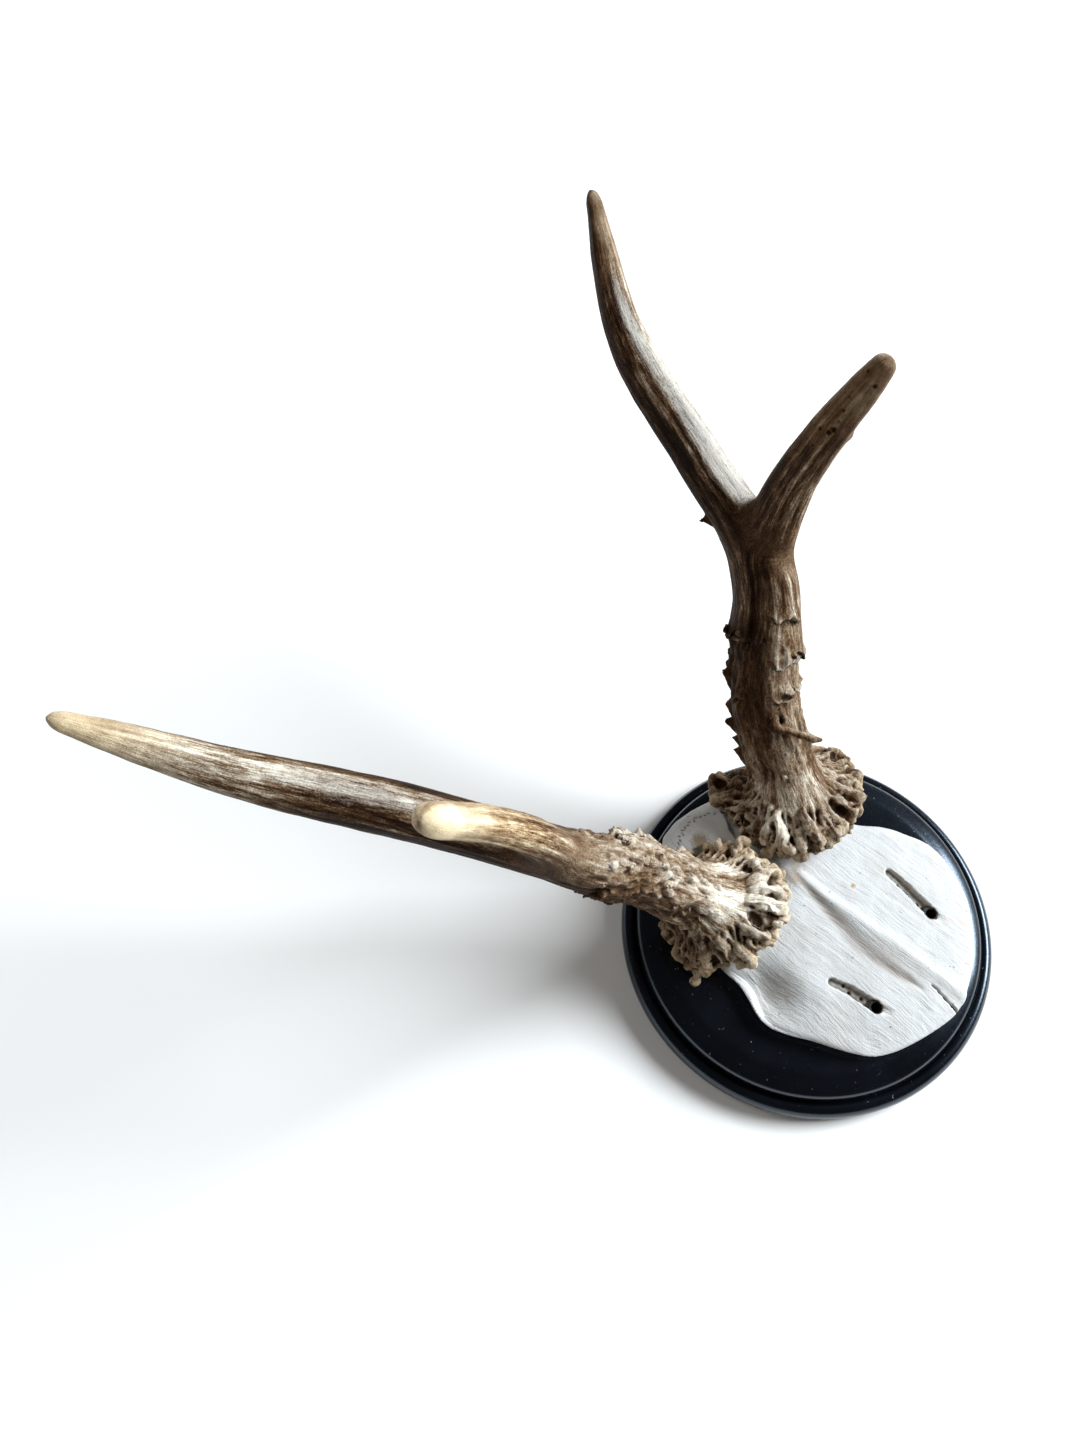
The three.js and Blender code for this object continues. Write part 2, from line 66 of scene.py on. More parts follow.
# What each row of an antler holds; "along" is the distance from the burr, and degrees go around:
# path, tine_path     points of the centre line
# sections            [along, width in the fork's plane, thickness across it]
# outline             [degrees, reach] of the burr's rim
# growths             strings of balls on the burr, [degrees, reach, height, radius]
# pearls              [along, degrees, radius, height]
# thorn               balls of the long spike, [along, degrees, lift, radius]
# ledges              [along, from degrees, to degrees, rise, run, slant]
# keels, streaks      [places [along, degrees], width, rise or change of tone]; a few streaks paint the lit and the shaded flank of a keel
# dents, tine_dents   [along, degrees, depth, spread]
# hollows             pits of the burr, [degrees, reach, height, depth, spread]
# pits                small round holes of the tine, [along, degrees, radius]
# tone rows of beam and tine  [along, degrees, tone from 0 dark to 1 pale], which also hold painted shade:
# paler on the side the window lights, darker on the side turned from it
# pale_knobs          [degrees, reach, height, spread, change of tone]
# polish              [along, degrees, length, width, strength]
# ridges is the number of growth ridges on the burr, chance_pearls that of small pearls, and
# rough_end where the rough lower beam ends. crust, gold and honey are strengths: of the crust on
# the rough beam, of the golden rim, and of the honey colour of the tips.
LEFT = {
    "name": "left_antler",
    "nodes": ["left_antler_beam", "left_antler_tine"],
    "path": [[-17.9, 22.6, 26.7], [-33, 42.3, 56.8], [-50.1, 54.4, 87.4], [-70.2, 92.3, 99.9],
             [-92.2, 129.2, 112], [-113.4, 164.6, 133]],
    "tine_path": [[-50.1, 54.4, 87.4], [-58.3, 60.8, 111.5], [-68.1, 64.1, 134.5],
                  [-80.3, 66.0, 159.3]],
    "sections": [[0, 21, 20], [22, 20.5, 19], [42, 20, 17.2], [64, 21, 14.8], [78, 22, 13.8],
                 [90, 18, 13.8], [100, 15, 14.2], [124, 14.6, 14.6], [148, 14, 14], [160, 13, 13],
                 [173, 11.6, 11.6], [187, 9.8, 9.8], [200, 7.6, 7.6], [206, 6, 6]],
    "tine_sections": [[0, 15, 9], [12, 16, 9.4], [24, 13.4, 9.4], [40, 11.6, 9], [60, 10, 8.4],
                      [73, 8.8, 7.8]],
    "outline": [[-180, 21.5], [-137, 21.3], [-108, 21], [-84, 23], [-66, 22.4], [-52, 18.2],
                [-32, 20.4], [0, 19.6], [41, 21.2], [66, 22.2], [87, 20.2], [117, 22.4],
                [150, 21.6], [180, 21.5]],
    "ridges": 27,
    "rough_end": 78,
    "seed": 11,
    "growths": [
        [[-76, 19, 0, 2.0], [-75, 22.5, -1.6, 1.5], [-74.5, 24.4, -2.8, 1.7]],
        [[-60, 14, 7, 1.4], [-60, 18.3, 2.8, 2.0]],
        [[-49, 13, 6, 1.5], [-49, 17.4, 1.4, 2.0]],
        [[-36, 13, 8, 1.4], [-36, 17, 3.2, 2.1], [-37, 19.4, 0.4, 1.9]],
        [[-24, 17, 4, 2.0], [-22, 20.2, 1, 2.1], [-27, 20.6, -0.6, 1.4]],
        [[-5, 12.4, 7, 1.5], [-4, 14, 5.9, 1.9], [1, 17, 5, 2.2], [4, 19.2, 3.6, 1.9]],
        [[15, 20, 3.6, 1.5], [22, 20.6, 1.6, 1.8]],
        [[32, 14, 8, 1.8], [32, 17.4, 5.2, 2.5], [30, 20.2, 2.2, 2.0]],
        [[47, 14, 7.6, 1.6], [47, 16.8, 5.6, 2.4], [43, 20.9, 2.7, 2.0]],
        [[57, 13.4, 7.2, 1.4], [60, 15.4, 6.4, 2.0], [67, 20.6, 2.2, 1.9]],
        [[71, 18, 5.4, 1.9], [80, 17, 5.2, 1.6]],
        [[106, 17.5, 5, 1.7], [106, 21.6, 2.4, 1.8], [101, 22.2, 1.4, 1.3]],
    ],
    "pearls": [[78, 62, 2.0, 1.8], [72, 58, 1.6, 1.2], [64.5, 58, 1.5, 2.6], [61, 46, 2.0, 2.0],
               [56, 50, 1.8, 1.6], [52, 33, 1.7, 2.6], [50.4, 3, 1.3, 2.0], [48.4, -2, 1.5, 2.2],
               [46.3, -7, 1.4, 1.8], [45, 62, 2.6, 1.8], [39, 20, 2.0, 1.4], [36, 48, 2.4, 1.8],
               [30, 30, 2.2, 1.3], [51, -79, 1.6, 1.4], [43, -49, 1.7, 1.4], [38.8, -24, 1.9, 1.6],
               [60, -95, 1.8, 1.4], [52, 110, 3.0, 2.8], [42, 140, 2.6, 3.0], [33, 150, 2.8, 2.8],
               [26, -60, 2.2, 1.6], [24, 100, 2.4, 2.0], [62, 160, 2.2, 2.0], [47, -140, 2.4, 2.0],
               [34, -120, 2.2, 1.8]],
    "thorn": [],
    "ledges": [[69, -100, -52, 1.5, -7, 0.3], [56, -112, -70, 1.4, 6, 0.4],
               [66, 10, 60, 0.9, -9, -0.5], [58, 100, 170, 1.0, 9, 0.3],
               [50, -180, -130, 0.9, -8, 0.2]],
    "keels": [[[[42, -20], [60, -30], [76, -42]], 8, 0.5]],
    "crust": 1.0,
    "gold": 1.2,
    "chance_pearls": 110,
    "pits": [],
    "tine_dents": [],
    "honey": 0.8,
    "dents": [[55, -94, 1.8, 3.0], [74, 30, 0.5, 5], [33, 5, 0.8, 3.5], [22, -20, 1.0, 3.4],
              [16, -35, 1.2, 3.0], [46, 30, 0.6, 3]],
    "hollows": [[12, 16.6, 5.5, 2.4, 2.2], [52, 18.4, 3.4, 1.4, 1.6], [-12, 18, 2.4, 1.4, 2.0],
                [-55, 19.4, 0.4, 1.6, 2.2], [-43, 18.6, 1.6, 1.4, 1.8], [72, 15.8, 4.6, 1.3, 1.4]],
    # The tones below carry painted shade over the antler's own browns and ivory: paler where the window
    # lights the beam, darker where it is turned away.
    "tones_with_painted_shade": [[0, 0, 0.79], [0, 60, 0.78], [0, 120, 0.60], [0, -60, 0.62], [0, -120, 0.34],
              [0, 180, 0.44], [25, 10, 0.79], [25, 70, 0.72], [25, -60, 0.54], [25, -130, 0.40],
              [25, 160, 0.44],
              [50, 0, 0.73], [50, 50, 0.66], [50, -80, 0.50], [50, 140, 0.44], [50, -140, 0.40],
              [75, 20, 0.72], [75, -25, 0.63], [75, -75, 0.22], [75, 80, 0.50], [75, 160, 0.40],
              [100, 20, 0.66], [100, -60, 0.34], [100, 110, 0.42], [100, -150, 0.34],
              [130, 10, 0.70], [130, 60, 0.42], [130, -70, 0.42], [130, 160, 0.36],
              [160, 20, 0.78], [160, 80, 0.52], [160, -80, 0.62], [160, 180, 0.44],
              [185, 20, 0.86], [185, 140, 0.66], [185, -100, 0.78], [206, 0, 0.92]],
    # The tine's tones carry painted shade as well: paler on its lit side, darker on its far side.
    "tine_tones_with_painted_shade": [[10, 150, 0.60], [10, 90, 0.34], [10, -120, 0.54], [10, 0, 0.40],
                   [30, 150, 0.62], [30, 90, 0.32], [30, -120, 0.59], [30, 0, 0.44],
                   # The rows at 64 and 74 along paint a bright highlight on the end of the tine's tip.
                   [50, 140, 0.78], [50, 60, 0.56], [50, -90, 0.75], [64, 0, 0.98], [74, 180, 1.1]],
    "streaks": [[[[6, -22], [22, -34], [42, -32]], 6, -0.2], [[[6, 8], [22, -8], [38, -14]], 4, -0.16],
                [[[118, -30], [133, -21], [148, -15], [165, -19]], 6, -0.5],
                [[[95, -70], [125, -66], [152, -62]], 22, -0.3],
                [[[112, 66], [130, 77], [158, 80]], 15, -0.3],
                [[[118, 30], [140, 34], [160, 36]], 12, 0.12]],
    "pale_knobs": [[33, 17.5, 5, 5, 0.22], [52, 17.5, 5, 5, 0.2], [-74, 20, -1, 5, 0.1],
                   [10, 8, 14, 8, 0.12]],
    "polish": [[135, 15, 34, 40, 0.6], [60, 10, 14, 40, 0.15]],
}

RIGHT = {
    "name": "right_antler",
    "nodes": ["right_antler_beam", "right_antler_tine"],
    "path": [[24.4, 24.1, 27.1], [34.4, 48, 58.7], [53.8, 67.8, 91.4], [66.8, 99.2, 100.9],
             [81.3, 139.9, 116.1], [105.2, 172.8, 137.2]],
    "tine_path": [[53.8, 67.8, 91.4], [62.6, 69.2, 113.9], [68.3, 64.8, 136.3], [78.8, 58.2, 158.6]],
    "sections": [[0, 21, 20], [22, 21.5, 19], [42, 21.5, 17.6], [57, 20.4, 15.4], [58.5, 22.4, 17],
                 [78, 23, 15.4], [90, 19.5, 14.8], [100, 15.6, 14], [124, 14, 13.4], [148, 13.6, 13],
                 [160, 12.6, 12.2], [173, 10.8, 10.6], [187, 9.2, 9], [195, 7.8, 7.6], [205, 5.4, 5.4]],
    "tine_sections": [[0, 16, 11], [12, 17.6, 11.4], [22, 15, 10.8], [34, 12.8, 10], [50, 11, 9],
                      [62, 9.2, 7.6], [71, 7.0, 6]],
    "outline": [[-180, 26], [-168, 29], [-149, 25.5], [-139, 21.4], [-129, 22], [-104, 20.6],
                [-61, 20], [-39, 20.6], [-9, 20.2], [26, 21.6], [61, 25.2], [93, 28.6], [111, 25.6],
                [140, 22.5], [180, 26]],
    "ridges": 29,
    "rough_end": 68,
    "seed": 23,
    "growths": [
        [[-146, 19, 4, 1.8], [-150, 25, 2, 2.2], [-162, 27, 1.4, 1.7], [-172, 28.6, 1.4, 1.9]],
        [[-172, 28.6, 1.4, 1.9], [-169, 22, 4.2, 1.5], [-158, 15, 9, 1.5]],
        [[-135, 21.6, 4.4, 1.2], [-120, 15.5, 7, 1.4], [-106, 12, 10, 1.4]],
        [[-133, 20.6, 0.3, 1.5], [-125, 16.5, 2.4, 1.6]],
        [[-88, 12, 10.5, 1.3], [-76, 13.4, 8.6, 1.7], [-67, 17.8, 4, 2.1], [-60, 20.4, 2.2, 1.9]],
        [[-78, 12.6, 9, 1.3], [-84, 17.6, 4.8, 1.6], [-86, 19.6, 2.6, 1.6]],
        [[-110, 12.6, 7.4, 1.2], [-112, 16, 4.6, 1.6]],
        [[-49, 17, 5, 1.5], [-49, 20.4, 2.2, 1.7]],
        [[-38, 14, 8, 1.6], [-37, 18.4, 5, 1.9], [-33, 20.6, 3, 1.7]],
        [[-15, 19.4, 2.4, 1.7], [-4, 18.6, 0.6, 1.5]],
        [[14, 15, 6.4, 1.5], [14, 19.6, 2.2, 1.8]],
        [[28, 16, 5.6, 1.5], [32, 21, 2.4, 1.8]],
    ],
    "pearls": [[104, -137, 1.5, 2.8], [61, -120, 2.2, 1.2], [54.5, -137, 2.3, 1.6],
               [50.5, -140, 2.0, 1.8], [47.5, -138, 2.0, 2.8], [38.5, -148, 1.7, 2.2],
               [33.5, -140, 2.1, 3.0],
               [27.5, -150, 1.6, 2.0], [23, -150, 1.9, 2.6], [19, -158, 1.6, 2.0], [62, 66, 1.1, 1.8],
               [54, 70, 1.1, 1.8], [50, 64, 1.1, 1.5], [44, 68, 1.1, 1.7], [41.5, -99, 2.0, 1.6],
               [43, -70, 1.5, 1.0], [47, -5, 1.6, 0.6], [38, -40, 1.5, 0.8],
               [52, 80, 2.4, 2.4], [40, 110, 2.6, 2.6], [30, 90, 2.4, 2.2], [58, 150, 2.2, 2.2],
               [46, 170, 2.6, 2.8], [34, 165, 2.4, 2.6], [24, 60, 2.0, 1.6], [66, 100, 2.0, 1.6]],
    "thorn": [[37, -46, 1.0, 1.3], [35, -38, 1.4, 1.4], [32.6, -22, 2.4, 1.4], [29.6, -8, 4.4, 1.2],
              [28, 0, 6.4, 0.8]],
    "ledges": [[62.8, -150, -60, 2.3, 9, 0.1], [63.4, -54, -37, 2.4, 5, -0.2],
               [58.4, -31, 30, 2.5, 9, 0.4], [70.5, -31, 18, 1.5, 10, -0.3], [46, -34, 36, 1.7, 7, 0.6],
               [44, -125, -80, 0.9, 5, 0.3], [61, 60, 160, 1.3, 9, 0.2]],
    "keels": [[[[31, -54], [45, -36], [65, -33], [76, -38], [84, -30], [93, -20]], 8, 0.95]],
    "crust": 0.6,
    "gold": 0.6,
    "chance_pearls": 34,
    "pits": [[66.8, 141, 0.35], [68.4, 73, 0.2], [57.8, 108, 0.15], [50.4, 85, 0.3], [52.6, 123, 0.6],
             [51.4, 118, 0.5], [55, 120, 0.15], [61, 90, 0.05], [46, 100, 0.1]],
    "tine_dents": [[51.5, -150, -1.0, 1.6]],
    "honey": 0.25,
    "dents": [[61, -72, 0.9, 3.0], [62, -52, 0.9, 2.4], [56, -22, 0.8, 3.2], [50, -50, 0.5, 4],
              [20, -100, 1.5, 3.6], [18, -78, 1.4, 3.2], [31, -30, 1.0, 2.4], [34, 10, 0.5, 4]],
    "hollows": [[-97, 19.4, 2.2, 2.2, 2.4], [-88, 15.6, 6.0, 1.2, 1.6], [-72, 20.4, 1.4, 1.3, 1.4],
                [-120, 18.6, 2.0, 1.8, 2.4], [-24, 17.6, 5.0, 1.2, 2.0], [5, 17.2, 4.2, 1.1, 1.8],
                [-141, 22, 1.0, 1.6, 2.0], [66, 22, 3.4, 1.0, 2.6], [84, 23, 3.0, 1.0, 2.4]],
    # The tones below carry painted shade over the antler's own browns and ivory: paler where the window
    # lights the beam, darker where it is turned away.
    "tones_with_painted_shade": [[0, 0, 0.66], [0, 60, 0.64], [0, 100, 0.58], [0, -50, 0.66], [0, -110, 0.66],
              [0, 170, 0.48],
              [20, -30, 0.66], [20, -95, 0.70], [20, 20, 0.62], [20, 100, 0.50], [20, -160, 0.42],
              [61, -14, 0.66], [45, 0, 0.63], [45, -40, 0.46], [45, -75, 0.29], [45, -130, 0.26],
              [45, 60, 0.50],
              [45, 140, 0.34], [70, 0, 0.60], [70, -32, 0.46], [70, -54, 0.27], [70, -90, 0.29],
              [70, -140, 0.26], [70, 50, 0.46], [70, 130, 0.34], [92, 0, 0.40], [92, -60, 0.29],
              [92, -120, 0.26], [92, 60, 0.42], [92, 150, 0.32], [115, 15, 0.82], [115, -45, 0.42],
              [115, -100, 0.15], [115, 80, 0.48], [115, 160, 0.32], [150, 5, 0.84], [150, -50, 0.44],
              [150, -110, 0.17], [150, 90, 0.52], [150, 170, 0.30], [185, 0, 0.62], [185, -80, 0.28],
              [185, 120, 0.36], [203, 0, 0.62]],
    # The tine's tones carry painted shade as well: paler on its lit side, darker on its far side.
    "tine_tones_with_painted_shade": [[12, 140, 0.36], [12, 60, 0.32], [12, -150, 0.56], [12, -60, 0.36], [35, 120, 0.46],
                   [35, -150, 0.62], [35, -30, 0.50], [60, 120, 0.54], [60, -100, 0.54], [74, 0, 0.66]],
    "streaks": [[[[64, -60], [80, -58], [100, -60]], 16, -0.12],
                [[[150, -28], [165, -30], [185, -34]], 9, -0.3],
                [[[70, -4], [85, 0], [98, 4]], 7, 0.06],
                # The next two rows paint light and shade on the keel's flanks: darker on the flank turned
                # from the window, paler on the lit one.
                [[[31, -64], [45, -50], [65, -47], [76, -52], [84, -44]], 9, -0.14],
                [[[31, -38], [45, -22], [65, -20], [76, -24], [84, -16]], 9, 0.08],
                [[[27, 4], [29.6, -8], [32.6, -22], [36.5, -44]], 9, -0.24]],
    "pale_knobs": [[-70, 16.5, 5.5, 4.2, 0.4], [-86, 15.5, 7.5, 3.4, 0.2], [-150, 24, 2, 4, 0.12]],
    "polish": [[112, -4, 18, 36, 0.9], [142, -6, 32, 30, 0.8], [172, -12, 14, 20, 0.5]],
}


# ---------------------------------------------------------------- mesh helpers

def new_object(name, mesh):
    obj = bpy.data.objects.new(name, mesh)
    bpy.context.scene.collection.objects.link(obj)
    return obj


def mesh_of(bm, name):
    """The bmesh as a mesh, its faces pointing outwards."""
    bmesh.ops.recalc_face_normals(bm, faces=bm.faces)
    mesh = bpy.data.meshes.new(name)
    bm.to_mesh(mesh)
    bm.free()
    return mesh


def with_modifiers(mesh, *modifiers):
    """The mesh as it is after modifiers, each given as (type, its settings)."""
    obj = new_object("workpiece", mesh)
    for kind, settings in modifiers:
        modifier = obj.modifiers.new(kind, kind)
        for setting, value in settings.items():
            setattr(modifier, setting, value)
    depsgraph = bpy.context.evaluated_depsgraph_get()
    result = bpy.data.meshes.new_from_object(obj.evaluated_get(depsgraph),
                                             preserve_all_data_layers=True, depsgraph=depsgraph)
    bpy.data.objects.remove(obj)
    return result


def cut(mesh, *cutters):
    """The mesh with each cutter's shape taken out of it."""
    objects = [new_object("cutter", cutter) for cutter in cutters]
    steps = [("BOOLEAN", {"operation": "DIFFERENCE", "solver": "EXACT", "object": obj}) for obj in objects]
    result = with_modifiers(mesh, *steps)
    for obj in objects:
        bpy.data.objects.remove(obj)
    return result


def remeshed(mesh, voxel):
    """Everything in the mesh joined into one closed skin, with faces about that size."""
    return with_modifiers(mesh, ("REMESH", {"mode": "VOXEL", "voxel_size": voxel}))


def thinned(mesh, triangles):
    """The mesh with its flattest parts thinned until it has at most that many triangles."""
    count = sum(len(face.vertices) - 2 for face in mesh.polygons)
    if count <= triangles:
        return mesh
    return with_modifiers(mesh, ("DECIMATE", {"ratio": triangles / count}))


def finished(name, mesh, nodes, finish):
    """Puts a mesh made in millimetres in the scene, in metres, in place of its CAD nodes."""
    mesh.transform(Matrix.Scale(MM, 4))
    mesh.shade_smooth()
    mesh.materials.clear()
    mesh.materials.append(finish)
    mesh.name = name
    obj = new_object(name, mesh)
    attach(obj, "root")
    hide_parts(*nodes)
    return obj


def swept(bm, rings):
    """Extrudes a capped circle through rings of points and closes its far end."""
    ring = bmesh.ops.create_circle(bm, cap_ends=True, segments=len(rings[0]), radius=1)["verts"]
    edges = list({edge for vert in ring for edge in vert.link_edges})
    for points in rings[1:]:
        made = bmesh.ops.extrude_edge_only(bm, edges=edges)["geom"]
        new = {item for item in made if isinstance(item, bmesh.types.BMVert)}
        following = [next(edge.other_vert(vert) for edge in vert.link_edges
                          if edge.other_vert(vert) in new) for vert in ring]
        if points is rings[1]:
            for vert, point in zip(ring, rings[0]):
                vert.co = point
        for vert, point in zip(following, points):
            vert.co = point
        edges = [item for item in made if isinstance(item, bmesh.types.BMEdge) and set(item.verts) <= new]
        ring = following
    bmesh.ops.edgeloop_fill(bm, edges=edges)


def turned(profile, steps=160, x=0, y=0):
    """A turned body from a profile of [radius, height] that starts and ends on its axis."""
    bm = bmesh.new()
    verts = [bm.verts.new((radius, 0, height)) for radius, height in profile]
    edges = [bm.edges.new(pair) for pair in zip(verts, verts[1:])]
    bmesh.ops.spin(bm, geom=verts + edges, cent=(0, 0, 0), axis=(0, 0, 1), angle=2 * math.pi, steps=steps,
                   use_merge=True)
    bmesh.ops.remove_doubles(bm, verts=bm.verts, dist=1e-4)
    bmesh.ops.translate(bm, verts=bm.verts, vec=(x, y, 0))
    return bm


def merge(bm, clump):
    """Moves a small bmesh into a large one; operators are slow on a large one."""
    mesh = bpy.data.meshes.new("clump")
    clump.to_mesh(mesh)
    clump.free()
    bm.from_mesh(mesh)
    bpy.data.meshes.remove(mesh)


def ball(bm, spot, radius):
    bmesh.ops.create_icosphere(bm, subdivisions=2, radius=radius, matrix=Matrix.Translation(Vector(spot)))


def string_of_balls(bm, spots, jitter):
    """Overlapping balls along a line of (point, radius), each a little off its size."""
    clump = bmesh.new()
    for (start, thin), (end, thick) in zip(spots, spots[1:]):
        count = max(1, round((end - start).length / (0.4 * (thin + thick) / 2)))
        for k in range(count):
            share = k / count
            radius = (thin + (thick - thin) * share) * (1 + jitter.uniform(-0.04, 0.08))
            ball(clump, start.lerp(end, share), radius)
    ball(clump, *spots[-1])
    merge(bm, clump)


class Skin:
    """The points of a mesh as arrays, with their neighbours, so that they can be moved together."""

    def __init__(self, mesh):
        self.mesh = mesh
        self.points = self.read(mesh.vertices, "co", 3)
        self.edges = self.read(mesh.edges, "vertices", 2, np.int32)
        self.degree = np.bincount(self.edges.ravel(), minlength=len(self.points))[:, None]

    @staticmethod
    def read(items, name, width, kind=np.float32):
        values = np.empty(len(items) * width, kind)
        items.foreach_get(name, values)
        return values.reshape(-1, width).astype(float if kind is np.float32 else kind)

    def write(self):
        self.mesh.vertices.foreach_set("co", self.points.astype(np.float32).ravel())
        self.mesh.update()

    def normals(self):
        self.write()
        return self.read(self.mesh.vertex_normals, "vector", 3)

    def neighbour_mean(self, values):
        first, second = self.edges.T
        count = len(values)
        columns = [np.bincount(first, column[second], count) + np.bincount(second, column[first], count)
                   for column in values.T]
        return np.stack(columns, axis=1) / self.degree

    def smoothed(self, values, rounds, share=1.0):
        """The values, moved that share of the way to their neighbours' mean in each round."""
        for _ in range(rounds):
            values = values + share * (self.neighbour_mean(values) - values)
        return values

    def relief(self, rounds, scale):
        """How far each point stands out of its surroundings, from -1 in a cleft to 1 on a crest."""
        rise = (self.points - self.smoothed(self.points, rounds)) * self.normals()
        return np.clip(rise.sum(1) / scale, -1, 1)

    def keep(self, name, values):
        """Stores a value or a vector for each point, for a finish to read."""
        kind, field = ("FLOAT", "value") if values.ndim == 1 else ("FLOAT_VECTOR", "vector")
        layer = self.mesh.attributes.new(name, kind, "POINT")
        layer.data.foreach_set(field, values.astype(np.float32).ravel())


def noise_at(points, size, octaves=1, shift=0.0):
    """Smooth noise, about -1 to 1, with lumps of that size in mm, or of a size for each axis."""
    places = (points / size + shift).tolist()
    if octaves == 1:
        return np.array([noise.noise(place) for place in places])
    return np.array([noise.fractal(place, 1.0, 2.0, octaves) for place in places])


def smoothstep(low, high, value):
    share = np.clip((value - low) / (high - low), 0, 1)
    return share * share * (3 - 2 * share)


def turn_between(degrees, centre):
    """Signed degrees from centre, between -180 and 180."""
    return (degrees - centre + 180) % 360 - 180


# ---------------------------------------------------------------- paths

def smooth_line(points, step=0.5):
    """A centripetal Catmull-Rom curve through the points, with a point every step mm."""
    knots = np.array(points, float)
    knots = np.vstack([2 * knots[0] - knots[1], knots, 2 * knots[-1] - knots[-2]])
    pieces = []
    for p0, p1, p2, p3 in zip(knots, knots[1:], knots[2:], knots[3:]):
        d0, d1, d2 = [max(float((b - a) @ (b - a)) ** 0.25, 1e-4)
                      for a, b in ((p0, p1), (p1, p2), (p2, p3))]
        t1 = ((p1 - p0) / d0 - (p2 - p0) / (d0 + d1) + (p2 - p1) / d1) * d1
        t2 = ((p2 - p1) / d1 - (p3 - p1) / (d1 + d2) + (p3 - p2) / d2) * d1
        w = np.linspace(0, 1, 200, endpoint=False)[:, None]
        pieces.append(p1 + t1 * w + (3 * (p2 - p1) - 2 * t1 - t2) * w ** 2
                      + (2 * (p1 - p2) + t1 + t2) * w ** 3)
    fine = np.vstack(pieces + [knots[-2:-1]])
    run = np.concatenate([[0], np.cumsum(np.linalg.norm(np.diff(fine, axis=0), axis=1))])
    stops = np.append(np.arange(0, run[-1], step), run[-1])
    return np.stack([np.interp(stops, run, column) for column in fine.T], axis=1), stops


def unit(vectors):
    return vectors / np.linalg.norm(vectors, axis=-1, keepdims=True)


class Branch:
    """A path with its sections; angles around it start at its wide side.

    Distances along it are counted from the end of its entry, the stretch inside another branch.
    """

    def __init__(self, points, wide_side, sections, entry=0.0):
        self.line, self.run = smooth_line(points)
        self.run = self.run - entry
        self.length = self.run[-1]
        ahead = unit(np.gradient(self.line, axis=0))
        wide = unit(wide_side - (ahead @ wide_side)[:, None] * ahead)
        thick = np.cross(ahead, wide)
        # The steady side bends with the path but never turns round it; the grain keeps to it.
        steady = [wide[-1]]
        for direction in ahead[-2::-1]:
            steady.append(unit(steady[-1] - (steady[-1] @ direction) * direction))
        steady = np.array(steady[::-1])
        drift = np.unwrap(np.arctan2((steady * thick).sum(1), (steady * wide).sum(1)))
        self.frames = np.hstack([self.line, ahead, wide, thick, steady, np.degrees(drift)[:, None]])
        self.sections = np.array(sections, float)

    def at(self, along):
        """Centre, direction, wide side and thick side at each distance along the path."""
        fields = [np.interp(along, self.run, column) for column in self.frames.T]
        return [np.stack(fields[k:k + 3], axis=-1) for k in (0, 3, 6, 9)]

    def untwisted(self, along, degrees):
        """The angle counted from a side that doesn't swing round as the path bends."""
        return degrees - np.interp(along, self.run, self.frames[:, 15])

    def half_sizes(self, along):
        """Half the width and half the thickness; past the last section the end is rounded off."""
        keys, wide, thick = self.sections.T
        beyond = np.clip((along - keys[-1]) / (self.length - keys[-1]), 0, 1)
        rounding = np.sqrt(np.maximum(0.05, 1 - beyond ** 2)) / 2
        return np.interp(along, keys, wide) * rounding, np.interp(along, keys, thick) * rounding

    def ring(self, along, sides):
        """Points around the branch, with shallow flutes that follow its grain."""
        centre, _, wide, thick = self.at(along)
        half_wide, half_thick = self.half_sizes(along)
        angles = np.arange(sides) * 2 * math.pi / sides
        grain = np.radians(self.untwisted(along, np.degrees(angles)))
        flutes = (1 + 0.035 * np.cos(5 * grain + 1.3 + along * 0.02)
                  + 0.02 * np.cos(3 * grain - along * 0.05))
        return (centre + np.outer(np.cos(angles) * half_wide * flutes, wide)
                + np.outer(np.sin(angles) * half_thick * flutes, thick))

    def spot(self, along, degrees, lift=0.0):
        """A point on the branch's surface, or above it, and the direction out of it."""
        centre, _, wide, thick = self.at(along)
        half_wide, half_thick = self.half_sizes(along)
        c, s = math.cos(math.radians(degrees)), math.sin(math.radians(degrees))
        out = wide * c * half_wide + thick * s * half_thick
        return Vector(centre + out + unit(out) * lift), Vector(unit(out))

    def locate(self, points):
        """Distance along, degrees around and distance out from the path, for each point."""
        picks = self.line[::4]
        gaps = (picks ** 2).sum(1) - 2 * points @ picks.T
        along = self.run[::4][gaps.argmin(1)]
        for _ in range(3):
            centre, ahead, wide, thick = self.at(along)
            out = points - centre
            along = np.clip(along + (out * ahead).sum(1), self.run[0], self.length)
        x, y = (out * wide).sum(1), (out * thick).sum(1)
        return along, np.degrees(np.arctan2(y, x)), np.hypot(x, y)


